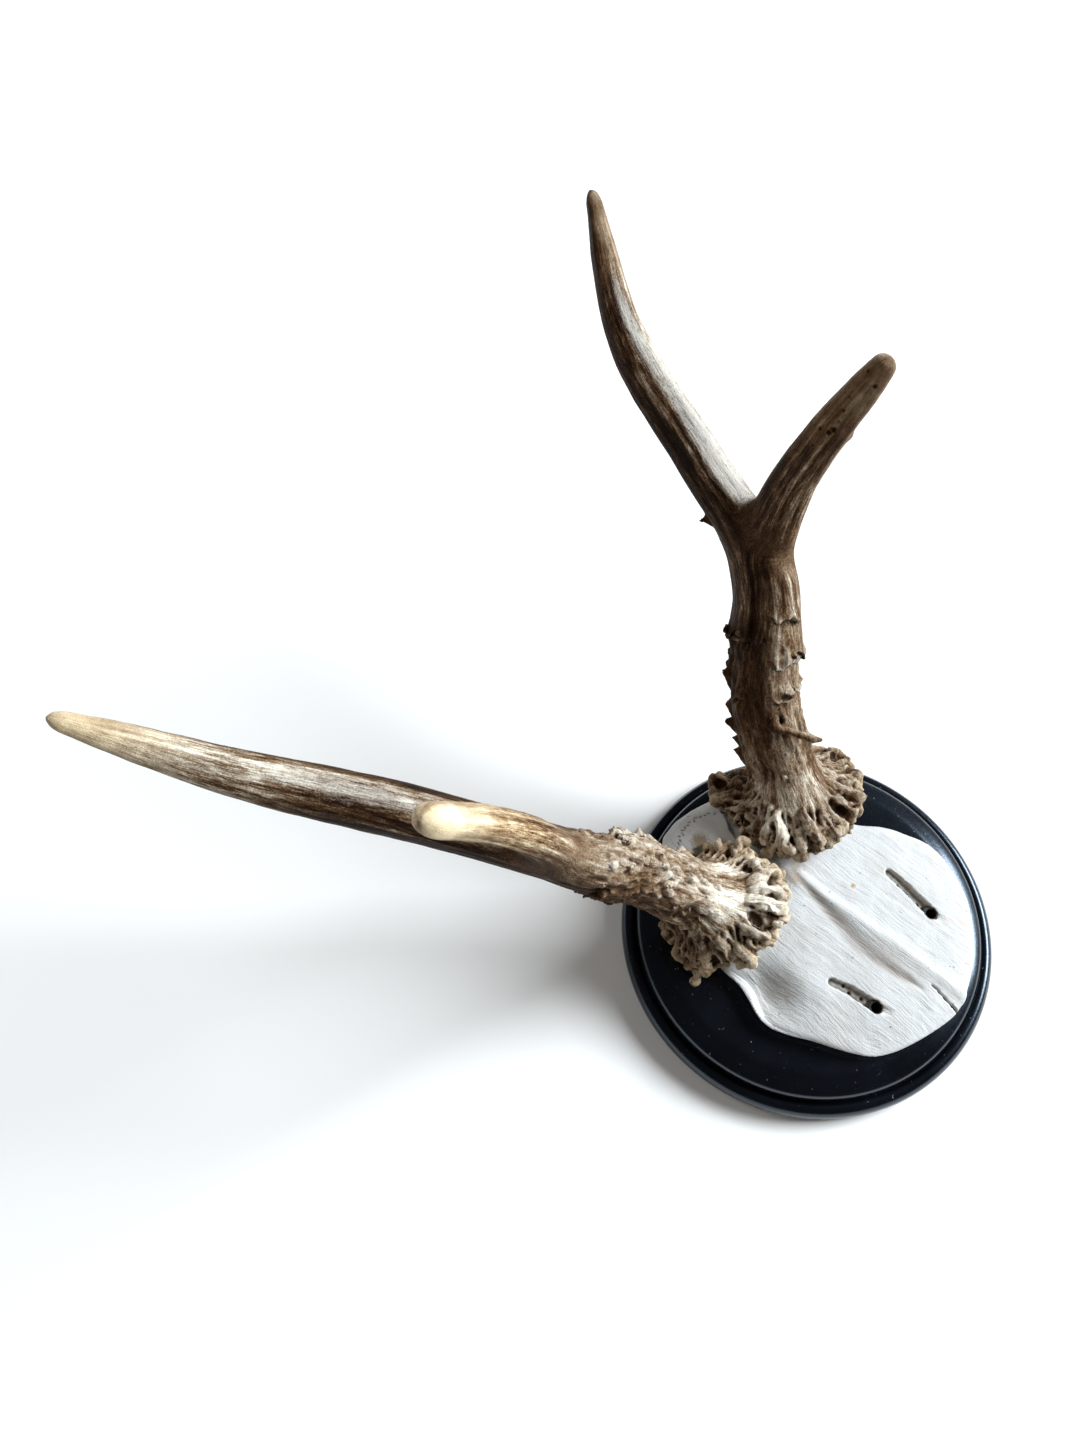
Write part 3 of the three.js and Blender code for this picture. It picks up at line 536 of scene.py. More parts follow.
class Burr:
    """The crown at an antler's foot, with its own leaning axis; degrees start at the nose side.

    A row is [height, fixed, share]: its reach is the fixed part and a share of the rim's reach.
    """

    core = [[20, 8, 0], [16, 10.3, 0], [10.5, 12.1, 0], [6, 3.9, 0.49], [3, 0, 0.82], [0.6, 0, 0.9],
            [-2, 0, 0.9], [-3.6, 0, 0.8], [-4, 12.5, 0], [-3, 9.4, 0]]
    ridge = [[15, 10, 0], [10.5, 11.6, 0], [6, 3.6, 0.49], [3, 0, 0.83], [0.8, 0, 0.92], [-1.4, 0, 0.92]]
    pedicle = [[-11, 13.6, 0], [-9, 11.4, 0], [-7, 10.0, 0], [-5, 9.1, 0], [-3.4, 9, 0]]
    room = [[-3.3, 10.2, 0], [-4.8, 13, 0], [-5.4, 0, 0.8], [-5.0, 0, 0.98], [-3, 0, 1.03], [8, 0, 1.03]]

    def __init__(self, antler, beam):
        self.beam = beam
        base, following = np.array(antler["path"][:2], float)
        self.base = base
        self.lean = unit(unit(following - base) + np.array([0, 0, 1.0]))
        front = np.array([0, -1.0, 0])
        self.front = unit(front - (front @ self.lean) * self.lean)
        self.side = np.cross(self.lean, self.front)
        self.outline = np.array(antler["outline"], float)

    def rim(self, degrees):
        """How far out the rim reaches."""
        return np.interp(turn_between(degrees, 0), *self.outline.T)

    def spot(self, degrees, reach, height):
        """A point around the burr; above the seat its axis turns into the beam's."""
        climb = max(0.0, height)
        centre, ahead, _, _ = self.beam.at(climb)
        middle = centre + self.lean * min(0.0, height)
        axis = unit(self.lean + (ahead - self.lean) * climb / 20)
        front = unit(self.front - (self.front @ axis) * axis)
        side = np.cross(axis, front)
        angle = math.radians(degrees)
        return Vector(middle + (front * math.cos(angle) + side * math.sin(angle)) * reach)

    def rings(self, rows, sides):
        """Points around the burr's axis for each row."""
        turns = np.arange(sides) * 360 / sides
        return [[self.spot(turn, fixed + share * self.rim(turn), height) for turn in turns]
                for height, fixed, share in rows]

    def locate(self, points):
        """Degrees around, distance out and height along the burr's own axis, for each point."""
        out = points - self.base
        x, y = out @ self.front, out @ self.side
        return np.degrees(np.arctan2(y, x)), np.hypot(x, y), out @ self.lean


# ---------------------------------------------------------------- antlers

def add_burr(bm, burr, antler, jitter):
    """A flared core, ridges that fork on their way from the neck to the rim, and knobs on the rim."""
    swept(bm, burr.rings(burr.core, BURR_SIDES))
    count = antler["ridges"]
    heights, fixed, share = np.array(burr.ridge, float).T
    last = len(heights) - 1
    for k in range(count):
        degrees = 360 * (k + jitter.uniform(-0.4, 0.4)) / count
        sway = 9 * math.sin(math.radians(degrees * 5 + 40 * antler["seed"]))
        top = degrees + sway + jitter.uniform(-4, 4)
        bulk = jitter.uniform(0.65, 1.3)
        bend = jitter.uniform(-7, 7)
        lift = jitter.uniform(-1.6, 1.4)
        stop = jitter.choice([last, last, last, last - 1])
        for twig in range(jitter.choice([1, 2, 2])):
            fork = jitter.choice([1, 2, 3])
            start = jitter.choice([0, 0, 1, 2]) if twig == 0 else fork
            aside = 0 if twig == 0 else jitter.choice([-1, 1]) * jitter.uniform(3, 6)
            spots = []
            for step in range(start, stop + 1):
                turn = step / last
                away = aside * max(0, step - fork) / (last - fork)
                here = top + (degrees - top) * turn + bend * math.sin(turn * math.pi) + away
                reach = fixed[step] + share[step] * burr.rim(here) + jitter.uniform(-0.9, 0.6) * turn
                height = heights[step] + lift * turn + jitter.uniform(-0.5, 0.5)
                radius = (0.5 + 0.95 * turn ** 1.3) * (1 + (bulk - 1) * turn)
                spots.append((burr.spot(here, reach, height), radius))
            if len(spots) > 1:
                string_of_balls(bm, spots, jitter)
        for _ in range(2):
            here = degrees + jitter.uniform(-8, 8)
            height = jitter.uniform(-2.6, 3.0)
            reach = burr.rim(here) * jitter.uniform(0.9, 1.0)
            root = burr.spot(here, reach - jitter.uniform(2.2, 3.6), height + jitter.uniform(0.6, 2.2))
            tip = burr.spot(here + jitter.uniform(-3, 3), reach - 0.5, height)
            ends = [(root, jitter.uniform(0.9, 1.3)), (tip, jitter.uniform(0.4, 0.85))]
            string_of_balls(bm, ends, jitter)
    for growth in antler["growths"]:
        spots = [(burr.spot(*place), radius * 0.92) for *place, radius in growth]
        string_of_balls(bm, spots, jitter)


def add_pearls(bm, beam, antler, jitter):
    """Placed spikes, then small chance ones on the rough lower beam; each is a fin along the beam."""
    chance = [[jitter.uniform(13, antler["rough_end"]), jitter.uniform(-180, 180),
               jitter.uniform(0.55, 1.1), jitter.uniform(0.5, 1.7)]
              for _ in range(antler["chance_pearls"])]
    for along, degrees, radius, height in antler["pearls"] + chance:
        foot, out = beam.spot(along, degrees, -0.5 * radius)
        _, ahead, _, _ = beam.at(along)
        ahead = Vector(ahead)
        rise = (out + 0.25 * ahead).normalized()
        side = ahead.cross(rise).normalized()
        place = Matrix((side, rise.cross(side), rise)).transposed().to_4x4()
        place.translation = foot
        place = place @ Matrix.Diagonal((0.62, jitter.uniform(1.6, 3.0), 1, 1))
        pearl = bmesh.new()
        bmesh.ops.create_icosphere(pearl, subdivisions=2, radius=radius,
                                   matrix=place @ Matrix.Diagonal((1, 1, 0.45, 1)))
        length = height + 0.8 * radius
        bmesh.ops.create_cone(pearl, cap_ends=True, cap_tris=True, segments=9, radius1=radius,
                              radius2=radius * 0.05, depth=length,
                              matrix=place @ Matrix.Translation((0, 0, length / 2)))
        tip = place @ Vector((0, 0, length))
        for vert in pearl.verts:
            if (vert.co - tip).length < 0.6 * radius:
                vert.co += ahead * 0.6 * height
        merge(bm, pearl)
    if antler["thorn"]:
        string_of_balls(bm, [(beam.spot(*place)[0], radius) for *place, radius in antler["thorn"]], jitter)


def ledge_rise(along, degrees, ledges):
    """Flakes: the surface stands proud on one side of a ragged line and drops at it."""
    rise = np.zeros(len(along))
    for place, start, end, height, run, slant in ledges:
        middle, half = (start + end) / 2, (end - start) / 2
        away = turn_between(degrees, middle)
        edge = place + slant * away / 10 + 0.7 * np.sin(away * 0.21 + place) + 0.4 * np.sin(away * 0.53)
        past = (along - edge) * math.copysign(1, run)
        window = smoothstep(half + 2, half - 9, np.abs(away))
        step = np.where(past > 0, np.exp(-np.maximum(past, 0) / abs(run)),
                        -0.7 * np.exp(np.minimum(past, 0) / 1.3))
        lip = 0.4 * np.exp(-((past - 0.7) / 0.9) ** 2)
        rise += height * window * (step + lip)
    return rise


def streak_change(along, degrees, streaks):
    """Lines along a beam, each stronger in its middle: its places, width and strength."""
    change = np.zeros(len(along))
    for places, width, strength in streaks:
        stops, centres = np.array(places, float).T
        away = turn_between(degrees, np.interp(along, stops, centres)) / width
        window = (smoothstep(stops[0] - 8, stops[0] + 3, along)
                  * smoothstep(stops[-1] + 8, stops[-1] - 3, along))
        change += strength * window * np.exp(-away ** 2)
    return change


def dent_depth(along, degrees, reach, dents):
    """Round hollows, or bumps where their depth is below 0."""
    depth = np.zeros(len(along))
    for place, centre, deep, spread in dents:
        sideways = np.radians(turn_between(degrees, centre)) * reach
        depth += deep * np.exp(-((along - place) ** 2 + sideways ** 2) / spread ** 2)
    return depth


def field_of(rows, along, degrees):
    """A smooth field through listed values, rows of [along, degrees, value]."""
    total, weight = np.zeros(len(along)), np.full(len(along), 1e-9)
    for place, centre, value in rows:
        pull = np.exp(-((along - place) / 15) ** 2 - (turn_between(degrees, centre) / 38) ** 2)
        total += value * pull
        weight += pull
    return total / weight


def forked_rods(beam, tine):
    """Beam and tine as one body, its fork rounded off."""
    bm = bmesh.new()
    for branch, start in ((beam, 9.0), (tine, tine.run[0])):
        stops = [*np.arange(start, branch.sections[-1][0], 2.5), branch.sections[-1][0]]
        stops += [stops[-1] + (branch.length - stops[-1]) * share for share in (0.4, 0.7, 0.9, 0.99)]
        swept(bm, [branch.ring(stop, ROD_SIDES) for stop in stops])
    mesh = remeshed(mesh_of(bm, "rods"), ROD_VOXEL)
    skin = Skin(mesh)
    fork = tine.at(np.array([4.0]))[0]
    near = np.exp(-(((skin.points - fork) ** 2).sum(1) / FORK_BLEND ** 2) ** 2)[:, None]
    for _ in range(36):
        skin.points += 0.6 * near * (skin.neighbour_mean(skin.points) - skin.points)
    skin.points += 0.7 * near * skin.normals()
    skin.write()
    return mesh


def branches_of(antler):
    """An antler's beam and tine, its burr, and how far along the beam the fork is."""
    fork, _, far, _ = np.array(antler["tine_path"], float)
    beam = Branch(antler["path"], unit(far - fork), antler["sections"])
    branch_side = np.array(antler["path"][3], float) - np.array(antler["path"][2], float)
    fork_along = float(beam.locate(fork[None])[0][0])
    entry_foot = beam.at(fork_along - TINE_ENTRY)[0]
    entry = float(np.linalg.norm(fork - entry_foot))
    tine = Branch([entry_foot, *antler["tine_path"]], unit(branch_side),
                  [[-entry, 6, 6], *antler["tine_sections"]], entry)
    return beam, tine, Burr(antler, beam), fork_along


def strand_of(turn, run):
    """A place in the grain that textures follow, from degrees around and distance along."""
    turn = np.radians(turn)
    return np.stack([np.cos(turn) * GRAIN_RADIUS, np.sin(turn) * GRAIN_RADIUS, run], axis=1)


def crests(places, size, shift, octaves=1):
    """Noise folded into ridges: 1 on a crest, falling to -1."""
    return 1 - 2 * np.abs(noise_at(places, size, octaves, shift))


def near_spot(burr, points, place, spread):
    """1 at a place [degrees, reach, height] on a burr, fading to 0 around it."""
    spot = np.array(burr.spot(*place))
    return np.exp(-((points - spot) ** 2).sum(1) / spread ** 2)


class Chart:
    """Where each point of an antler's skin lies on its beam, tine and burr, and its grain there."""

    def __init__(self, antler, skin, beam, tine, burr, fork_along):
        self.along, self.degrees, reach = beam.locate(skin.points)
        self.tine_along, self.tine_degrees, self.tine_reach = tine.locate(skin.points)
        lead = (reach / np.hypot(*beam.half_sizes(self.along))
                - self.tine_reach / np.hypot(*tine.half_sizes(self.tine_along)))
        self.tine_part = smoothstep(-0.4, 0.4, lead) * smoothstep(-10, 6, self.tine_along)
        self.beam_part = 1 - self.tine_part
        on_tine = self.tine_part > 0.5
        self.run = self.along + (self.tine_along + fork_along - self.along) * self.tine_part
        self.around = np.where(on_tine, self.tine_degrees, self.degrees)
        self.out = np.where(on_tine, self.tine_reach, reach)
        self.follow_grain(skin, beam, tine, fork_along, lead)
        end = np.where(on_tine, tine.length + fork_along, beam.length)
        rough_end = antler["rough_end"]
        self.rough = smoothstep(10, 20, self.run) * smoothstep(rough_end + 8, rough_end - 8, self.run)
        self.grown = smoothstep(6, 22, self.run) * smoothstep(end - 12, end - 60, self.run)
        self.tip = smoothstep(end - 45, end - 5, self.run)
        self.near_fork = np.exp(-((self.run - fork_along - 10) / 16) ** 2)
        self.burr_degrees, self.burr_reach, self.burr_height = burr.locate(skin.points)
        self.crown = smoothstep(22, 12, self.burr_height) * smoothstep(9, 12, self.burr_reach)

    def follow_grain(self, skin, beam, tine, fork_along, lead):
        """The tine's grain is turned so that it leaves the beam's without a break."""
        leaving, entering = fork_along - TINE_ENTRY / 2, tine.run[0] / 2
        _, _, wide, thick = beam.at(leaving)
        tine_side = tine.at(entering)[2]
        twist = math.degrees(math.atan2(tine_side @ thick, tine_side @ wide))
        twist = beam.untwisted(leaving, twist) + tine.untwisted(0, 0) - tine.untwisted(entering, 0)
        tine_grain = tine.untwisted(self.tine_along, self.tine_degrees) - tine.untwisted(0, 0) + twist
        strand = strand_of(beam.untwisted(self.along, self.degrees), self.along)
        change = strand_of(tine_grain, self.tine_along + fork_along) - strand
        discord = np.linalg.norm(change, axis=1) / (2 * GRAIN_RADIUS)
        self.strand = skin.smoothed(strand + self.tine_part[:, None] * change, 12)
        border = np.exp(-(lead / 0.55) ** 2) * smoothstep(-12, -2, self.tine_along)
        self.knot = smoothstep(0.1, 0.5, discord) * border * smoothstep(32, 22, self.tine_along)


def beam_texture(antler, skin, chart):
    """Grooves along the grain, and crust, crumbs and lumps on the rough lower beam."""
    rough, grown, strand = chart.rough, chart.grown, chart.strand
    wide_grooves = crests(strand, np.array([3.4, 3.4, 46]), antler["seed"])
    fine_grooves = crests(strand, np.array([1.5, 1.5, 16]), 7.3)
    crust = crests(strand, np.array([2.5, 2.5, 8.0]), 15.2)
    crumbs = crests(strand, np.array([1.1, 1.1, 3.4]), 41.7)
    lumps = noise_at(skin.points, 7.0, shift=3.1)
    grit = noise_at(skin.points, 1.5, 2, shift=9.7)
    coarse = antler["crust"] * rough
    depth = 0.34 * grown * (1 - chart.knot) * (0.6 - 0.2 * rough + 0.3 * chart.near_fork)
    return (depth * (wide_grooves - 0.4)
            + (0.05 + 0.2 * rough + 0.05 * grown) * fine_grooves
            + (0.16 + 0.45 * coarse) * lumps
            + (0.02 + 0.2 * coarse + 0.16 * chart.crown) * grit
            + 0.95 * coarse * (crust - 0.4) + 0.22 * rough * (crumbs - 0.4))


def burr_texture(skin, chart):
    """Ribs that run from the neck to the rim, broken into beads."""
    veer = np.radians(chart.burr_degrees) + 0.1 * noise_at(skin.points, 6.0, shift=21.5)
    fall = (chart.burr_reach - chart.burr_height) * 0.3
    flow = np.stack([np.cos(veer) * 15, np.sin(veer) * 15, fall], axis=1)
    ribs = crests(flow, 2.3, 30.1)
    beads = crests(flow * [1, 1, 2.2], 1.7, 27.9, 2)
    toward_rim = smoothstep(9, 20, chart.burr_reach)
    return chart.crown * ((1.0 + 0.4 * toward_rim) * (ribs - 0.5)
                          + (0.12 + 0.22 * toward_rim) * (beads - 0.5))


def pit_share(antler, chart):
    """1 inside the small round pits of the tine."""
    pit = np.zeros(len(chart.run))
    for place, centre, radius in antler["pits"]:
        sideways = np.radians(turn_between(chart.tine_degrees, centre)) * chart.tine_reach
        gap = np.hypot(chart.tine_along - place, sideways)
        pit = np.maximum(pit, chart.tine_part * smoothstep(radius + 0.4, radius - 0.3, gap))
    return pit


def carve_antler(antler, skin, chart, burr, pit):
    """Raises and sinks the skin; crests that already stand out are left nearly as they are."""
    rise = beam_texture(antler, skin, chart) + burr_texture(skin, chart)
    rise += chart.beam_part * ledge_rise(chart.run, chart.around, antler["ledges"])
    rise += chart.beam_part * streak_change(chart.run, chart.around, antler["keels"])
    rise -= chart.beam_part * dent_depth(chart.run, chart.around, chart.out, antler["dents"])
    rise -= chart.tine_part * dent_depth(chart.tine_along, chart.tine_degrees, chart.tine_reach,
                                         antler["tine_dents"])
    rise -= 0.3 * pit
    for *place, deep, spread in antler["hollows"]:
        rise -= deep * near_spot(burr, skin.points, place, spread)
    peak = np.clip(skin.relief(3, 0.22), 0, 1)
    rise = np.where(rise > 0, rise * (1 - 0.85 * peak), rise)
    skin.points += skin.normals() * rise[:, None]
    skin.points = skin.smoothed(skin.points, 1, 0.25)
    skin.points[:, 2] = np.maximum(skin.points[:, 2], PLATE_BOTTOM + 0.4)


def antler_tones_with_painted_shade(antler, skin, chart, burr, pit):
    """How pale each point is, from the listed rows."""
    # Painted shade is part of these tones: the rows are paler where the window lights the antler and
    # darker where it is turned away.
    tones_with_painted_shade = field_of(antler["tones_with_painted_shade"], chart.along, chart.degrees)
    tones_with_painted_shade += streak_change(chart.along, chart.degrees, antler["streaks"])
    tine_tones_with_painted_shade = field_of(antler["tine_tones_with_painted_shade"], chart.tine_along, chart.tine_degrees)
    tones_with_painted_shade += chart.tine_part * (tine_tones_with_painted_shade - tones_with_painted_shade) - 0.55 * pit
    for *place, spread, change in antler["pale_knobs"]:
        tones_with_painted_shade += change * near_spot(burr, skin.points, place, spread)
    return tones_with_painted_shade


def polish_share(antler, chart):
    """1 where the beam is rubbed smooth and grey."""
    polish = np.zeros(len(chart.run))
    for place, centre, length, width, strength in antler["polish"]:
        away = turn_between(chart.degrees, centre)
        polish += strength * np.exp(-((chart.along - place) / length) ** 2 - (away / width) ** 2)
    return np.clip(chart.beam_part * polish, 0, 1)


def antler_mesh(antler):
    """One grown piece: beam, tine, burr and pearls joined, then carved by its grooves."""
    beam, tine, burr, fork_along = branches_of(antler)
    jitter = random.Random(antler["seed"])
    bm = bmesh.new()
    bm.from_mesh(forked_rods(beam, tine))
    add_burr(bm, burr, antler, jitter)
    add_pearls(bm, beam, antler, jitter)
    mesh = remeshed(mesh_of(bm, antler["name"]), ANTLER_VOXEL)
    skin = Skin(mesh)
    skin.points = skin.smoothed(skin.points, 2, 0.5)
    chart = Chart(antler, skin, beam, tine, burr, fork_along)
    pit = pit_share(antler, chart)
    carve_antler(antler, skin, chart, burr, pit)
    worn_tine = chart.tine_part * smoothstep(8, 40, chart.tine_along)
    skin.keep("relief", skin.relief(4, 0.32))
    skin.keep("hollow", skin.relief(36, 1.1))
    skin.keep("knot", chart.knot)
    skin.keep("strand", chart.strand)
    skin.keep("tone_with_painted_shade", antler_tones_with_painted_shade(antler, skin, chart, burr, pit))
    skin.keep("polish", polish_share(antler, chart))
    skin.keep("rim", antler["gold"] * chart.crown * smoothstep(9, 1, chart.burr_height))
    skin.keep("rough", np.maximum(chart.rough, chart.crown))
    skin.keep("tip", chart.tip)
    skin.keep("honey", antler["honey"] * np.maximum(chart.tip, worn_tine))
    return thinned(mesh, ANTLER_TRIANGLES)


# ---------------------------------------------------------------- skull plate

# Edges of the plate as [y, left x, right x], and the height of its crown as [y, height].
PLATE_OUTLINE = [
    [-51.2, 1.6, 6.8], [-50.4, -1.6, 10], [-48.6, -7, 15.6], [-45.9, -13.6, 21.9], [-42.4, -20.3, 27.3],
    [-38.6, -25.1, 32.2], [-34, -27.9, 36.4], [-28.4, -30.4, 39.7], [-22, -32.9, 42.6],
    [-15.6, -35.9, 43.4],
    [-8.8, -37.8, 41.8], [-4, -36.6, 40.4], [0, -34.6, 38.4], [5, -32.7, 35], [12, -32, 32.2],
    [20, -28, 30.5], [32, -22.6, 29], [41, -18.8, 23], [46.6, -15.4, 14], [50.4, -11.6, 6.2],
    [52.6, -8, -0.5],
]
PLATE_CROWN = np.array([
    [-51.2, 2.6], [-49.6, 4], [-44, 5.6], [-30, 7.4], [-10, 8.6], [10, 9.4], [28, 9.4], [38, 8.4],
    [46, 6.4], [50.5, 4], [52.6, 1.8],
])
# Each groove widens along its line to its opening, and fades out along its tail.
GROOVES = [
    {"line": [[-15.0, -16.9], [-13.6, -22.5], [-12.7, -31.4]], "hole": [-12.7, -31.4],
     "tail": [-10.9, -36.4]},
    {"line": [[25.7, -11.7], [24.8, -19], [23.0, -28.6]], "hole": [22.8, -28.9], "tail": [23.8, -33.5]},
]
PITS = [[-13.3, -20.4], [-14.0, -22.9], [-13.1, -26.8], [24.2, -16], [23.8, -19.8], [23.2, -24.2]]
CRACK = [[4.1, -39.6], [3.1, -46.5], [2.5, -53]]
HOLE_RADIUS = 1.75
# Broad swellings and hollows of the plate: [x, y, spread along x, spread along y, rise].
SWELLS = [[-30.5, -2.5, 7, 9, -4.3], [-19.5, -12, 3, 11, 0.3]]
# Marks: [x, y, radius, strength] of small coloured spots on the bone; the first brown blotch is painted
# shade in the hollow of the brow in front of the left burr.
TAN_SPOTS = [[14.4, -5.2, 1.0, 1.0], [-13.3, 3.2, 0.35, 0.8], [8.9, 9.6, 0.35, 0.8]]
BROWN_BLOTCHES_AND_SHADE = [[-28, -3, 5, 0.2], [-3.3, 41.4, 3.4, 0.8], [-7.2, 38.6, 2.6, 0.6],
                  [4.5, 10.8, 3.6, 0.55], [0.8, 13.5, 3.2, 0.5], [8.5, 12.5, 2.4, 0.4]]
PINK_TINTS = [[26.8, -38.3, 2.4, 0.35], [24.0, -34.2, 1.6, 0.3]]
# The brown stain along the middle: [y, its middle x, half its width].
STAIN = [[13, 6.2, 0.9], [4, 4.4, 1.3], [-5, 2.4, 1.7], [-14, 0.8, 2.3], [-22, -0.3, 2.4], [-30, 0.3, 1.7],
         [-38, 1.0, 0.8]]


def plate_ring(left, right, y):
    """The plate cut across at y: over its crowned top, then back along its sawn underside."""
    span = right - left
    middle = min(max(MEDIAN_X, left + 0.36 * span), right - 0.36 * span)
    crown = np.interp(y, *PLATE_CROWN.T)
    arch = 2.8 * smoothstep(-47, -38, y) * (1 - smoothstep(-2, 9, y))
    sides = np.concatenate([np.linspace(1, 0.9, 5), np.linspace(0.86, -0.86, 30),
                            np.linspace(-0.9, -1, 5)])
    spread = np.abs(sides)
    height = crown * (1 - 0.4 * spread ** 2.4)
    lip = max(crown * 0.36, arch + 0.9)
    fall = np.clip((1 - spread) / (0.1 - 0.06 * smoothstep(-4, -14, y)), 0, 1) ** 0.36
    height = np.where(spread > 0.9, lip + (height - lip) * fall, height)
    under = [(-0.97, arch), (-0.8, 0), (-0.3, 0), (0.3, 0), (0.8, 0), (0.97, arch)]
    return [Vector((middle + side * (middle - left if side < 0 else right - middle), y, PLATE_BOTTOM + h))
            for side, h in [*zip(sides, height), *under]]


def to_polyline(points, line):
    """Distance of each point from a line in the plate's plane, and the share of it passed."""
    line = np.array(line, float)
    lengths = np.linalg.norm(np.diff(line, axis=0), axis=1)
    best, share, done = np.full(len(points), 1e9), np.zeros(len(points)), 0.0
    for a, b, length in zip(line, line[1:], lengths):
        t = np.clip(((points - a) @ (b - a)) / length ** 2, 0, 1)
        gap = np.linalg.norm(points - a - t[:, None] * (b - a), axis=1)
        nearer = gap < best
        best = np.where(nearer, gap, best)
        share = np.where(nearer, (done + t * length) / lengths.sum(), share)
        done += length
    return best, share


def plate_solid():
    """The bone and its pedicles in one skin, with room for the burrs and holes for the openings."""
    bm = bmesh.new()
    edges, _ = smooth_line(PLATE_OUTLINE, step=1.6)
    swept(bm, [plate_ring(left, right, y) for y, left, right in edges])
    cutters = []
    for antler in (LEFT, RIGHT):
        _, _, burr, _ = branches_of(antler)
        swept(bm, burr.rings(burr.pedicle, PEDICLE_SIDES))
        room = bmesh.new()
        swept(room, burr.rings(burr.room, PEDICLE_SIDES))
        cutters.append(mesh_of(room, "burr_room"))
    for groove in GROOVES:
        hole = bmesh.new()
        x, y = groove["hole"]
        bmesh.ops.create_cone(hole, cap_ends=True, segments=20, radius1=1.5, radius2=HOLE_RADIUS, depth=12,
                              matrix=Matrix.Translation((x, y, PLATE_BOTTOM + 7)))
        cutters.append(mesh_of(hole, "foramen"))
    solid = remeshed(mesh_of(bm, "skull_plate"), PLATE_VOXEL)
    return remeshed(cut(solid, *cutters), PLATE_VOXEL)


def stain_place(x, y):
    """How far each point is from the stain's middle, in half widths, and 1 between its ends."""
    stops, middle, half = np.array(STAIN[::-1], float).T
    off = (x - np.interp(y, stops, middle)) / np.interp(y, stops, half)
    return off, smoothstep(-44, -34, y) * smoothstep(17, 8, y)


def plate_relief(points, front, off, shown):
    """Median ridge, sunken stain, swellings and fine wrinkles of the plate's top."""
    x, y, z = points.T
    ridge = 0.8 * np.exp(-((x - MEDIAN_X - 1.2 + 0.04 * (y + 10)) / 2.2) ** 2)
    rise = front * (ridge - 0.6 * np.exp(-off ** 2) * shown)
    rise += 0.34 * noise_at(points, 13.0, shift=2.2) + 0.1 * noise_at(points, 4.0, 2, shift=5.1)
    rise += 0.07 * noise_at(np.stack([x, 0.09 * y, 0.5 * z], axis=1), 1.5, 2, shift=8.8)
    for middle_x, middle_y, spread_x, spread_y, height in SWELLS:
        rise += height * np.exp(-((x - middle_x) / spread_x) ** 2 - ((y - middle_y) / spread_y) ** 2)
    return rise


def plate_marks(points):
    """Depth and darkness of the plate's grooves, openings, pits, crack and suture."""
    flat = points[:, :2]
    x, y = flat.T
    ragged = 0.35 * noise_at(points, 1.2, 2, shift=12.0)
    depth, dark = np.zeros(len(x)), np.zeros(len(x))
    for groove in GROOVES:
        gap, share = to_polyline(flat, groove["line"])
        half = 1.15 + 0.45 * share
        trench = smoothstep(half + 0.3, half - 0.3, gap + 0.6 * ragged)
        depth = np.maximum(depth, (1.5 + 0.8 * share) * trench)
        dark = np.maximum(dark, 0.62 * trench * smoothstep(-0.3, 0.9, gap / half + ragged))
        gap, share = to_polyline(flat, [groove["hole"], groove["tail"]])
        depth = np.maximum(depth, 1.1 * (1 - share) * smoothstep(1.5, 0.4, gap))
        # Black inside each opening is painted shade in the hole.
        away = np.linalg.norm(flat - groove["hole"], axis=1)
        dark = np.maximum(dark, smoothstep(HOLE_RADIUS + 0.35, HOLE_RADIUS - 0.15, away))
    for pit in PITS:
        gap = np.linalg.norm(flat - pit, axis=1)
        depth += 0.9 * smoothstep(0.8, 0.3, gap)
        dark = np.maximum(dark, 0.9 * smoothstep(0.85, 0.4, gap))
    gap, share = to_polyline(flat, CRACK)
    split = smoothstep(0.24 + 0.26 * share, 0.02 + 0.14 * share, gap) * smoothstep(0, 0.1, share)
    suture = np.abs(y - 48.2 + 0.05 * (x + 2) ** 2 - 0.5 * np.sin(x * 3.1) - 0.3 * np.sin(x * 7.3))
    dashes = smoothstep(0.5, 0.2, suture) * (np.sin(x * 5.3) > -0.5) * smoothstep(11, 8, np.abs(x + 1))
    depth += 1.6 * split + 0.4 * dashes
    return depth, np.maximum(dark, np.maximum(split, 0.6 * dashes))


def skull_plate_mesh():
    """The sawn frontal bone with its pedicles, grooves, openings, crack and median ridge."""
    mesh = plate_solid()
    skin = Skin(mesh)
    skin.points = skin.smoothed(skin.points, 2, 0.5)
    x, y, z = skin.points.T
    normals = skin.normals()
    facing = smoothstep(0.2, 0.7, normals[:, 2]) * (z > PLATE_BOTTOM + 1.5)
    front = smoothstep(34, 20, y)
    off, shown = stain_place(x, y)
    depth, dark = plate_marks(skin.points)
    stain = np.exp(-(off / 1.5) ** 2) * shown * front
    rise = facing * (plate_relief(skin.points, front, off, shown) - depth)
    skin.points = skin.points + normals * rise[:, None]
    skin.points[:, 2] = np.maximum(skin.points[:, 2], PLATE_BOTTOM)
    skin.keep("relief", skin.relief(5, 0.3))
    skin.keep("hollow", skin.relief(30, 1.2))
    skin.keep("stain", stain)
    skin.keep("dark", dark * (skin.points[:, 2] > PLATE_BOTTOM + 0.5))
    return thinned(mesh, PLATE_TRIANGLES)


# ---------------------------------------------------------------- plaque and screws

SCREWS = [[MEDIAN_X, -24], [MEDIAN_X, 30]]
SCREW_HOLE = [[0, -1], [4.3, -1], [4.3, 1.2], [2.3, 3.7], [2.3, 22], [0, 22]]
THREAD_TURNS = 11


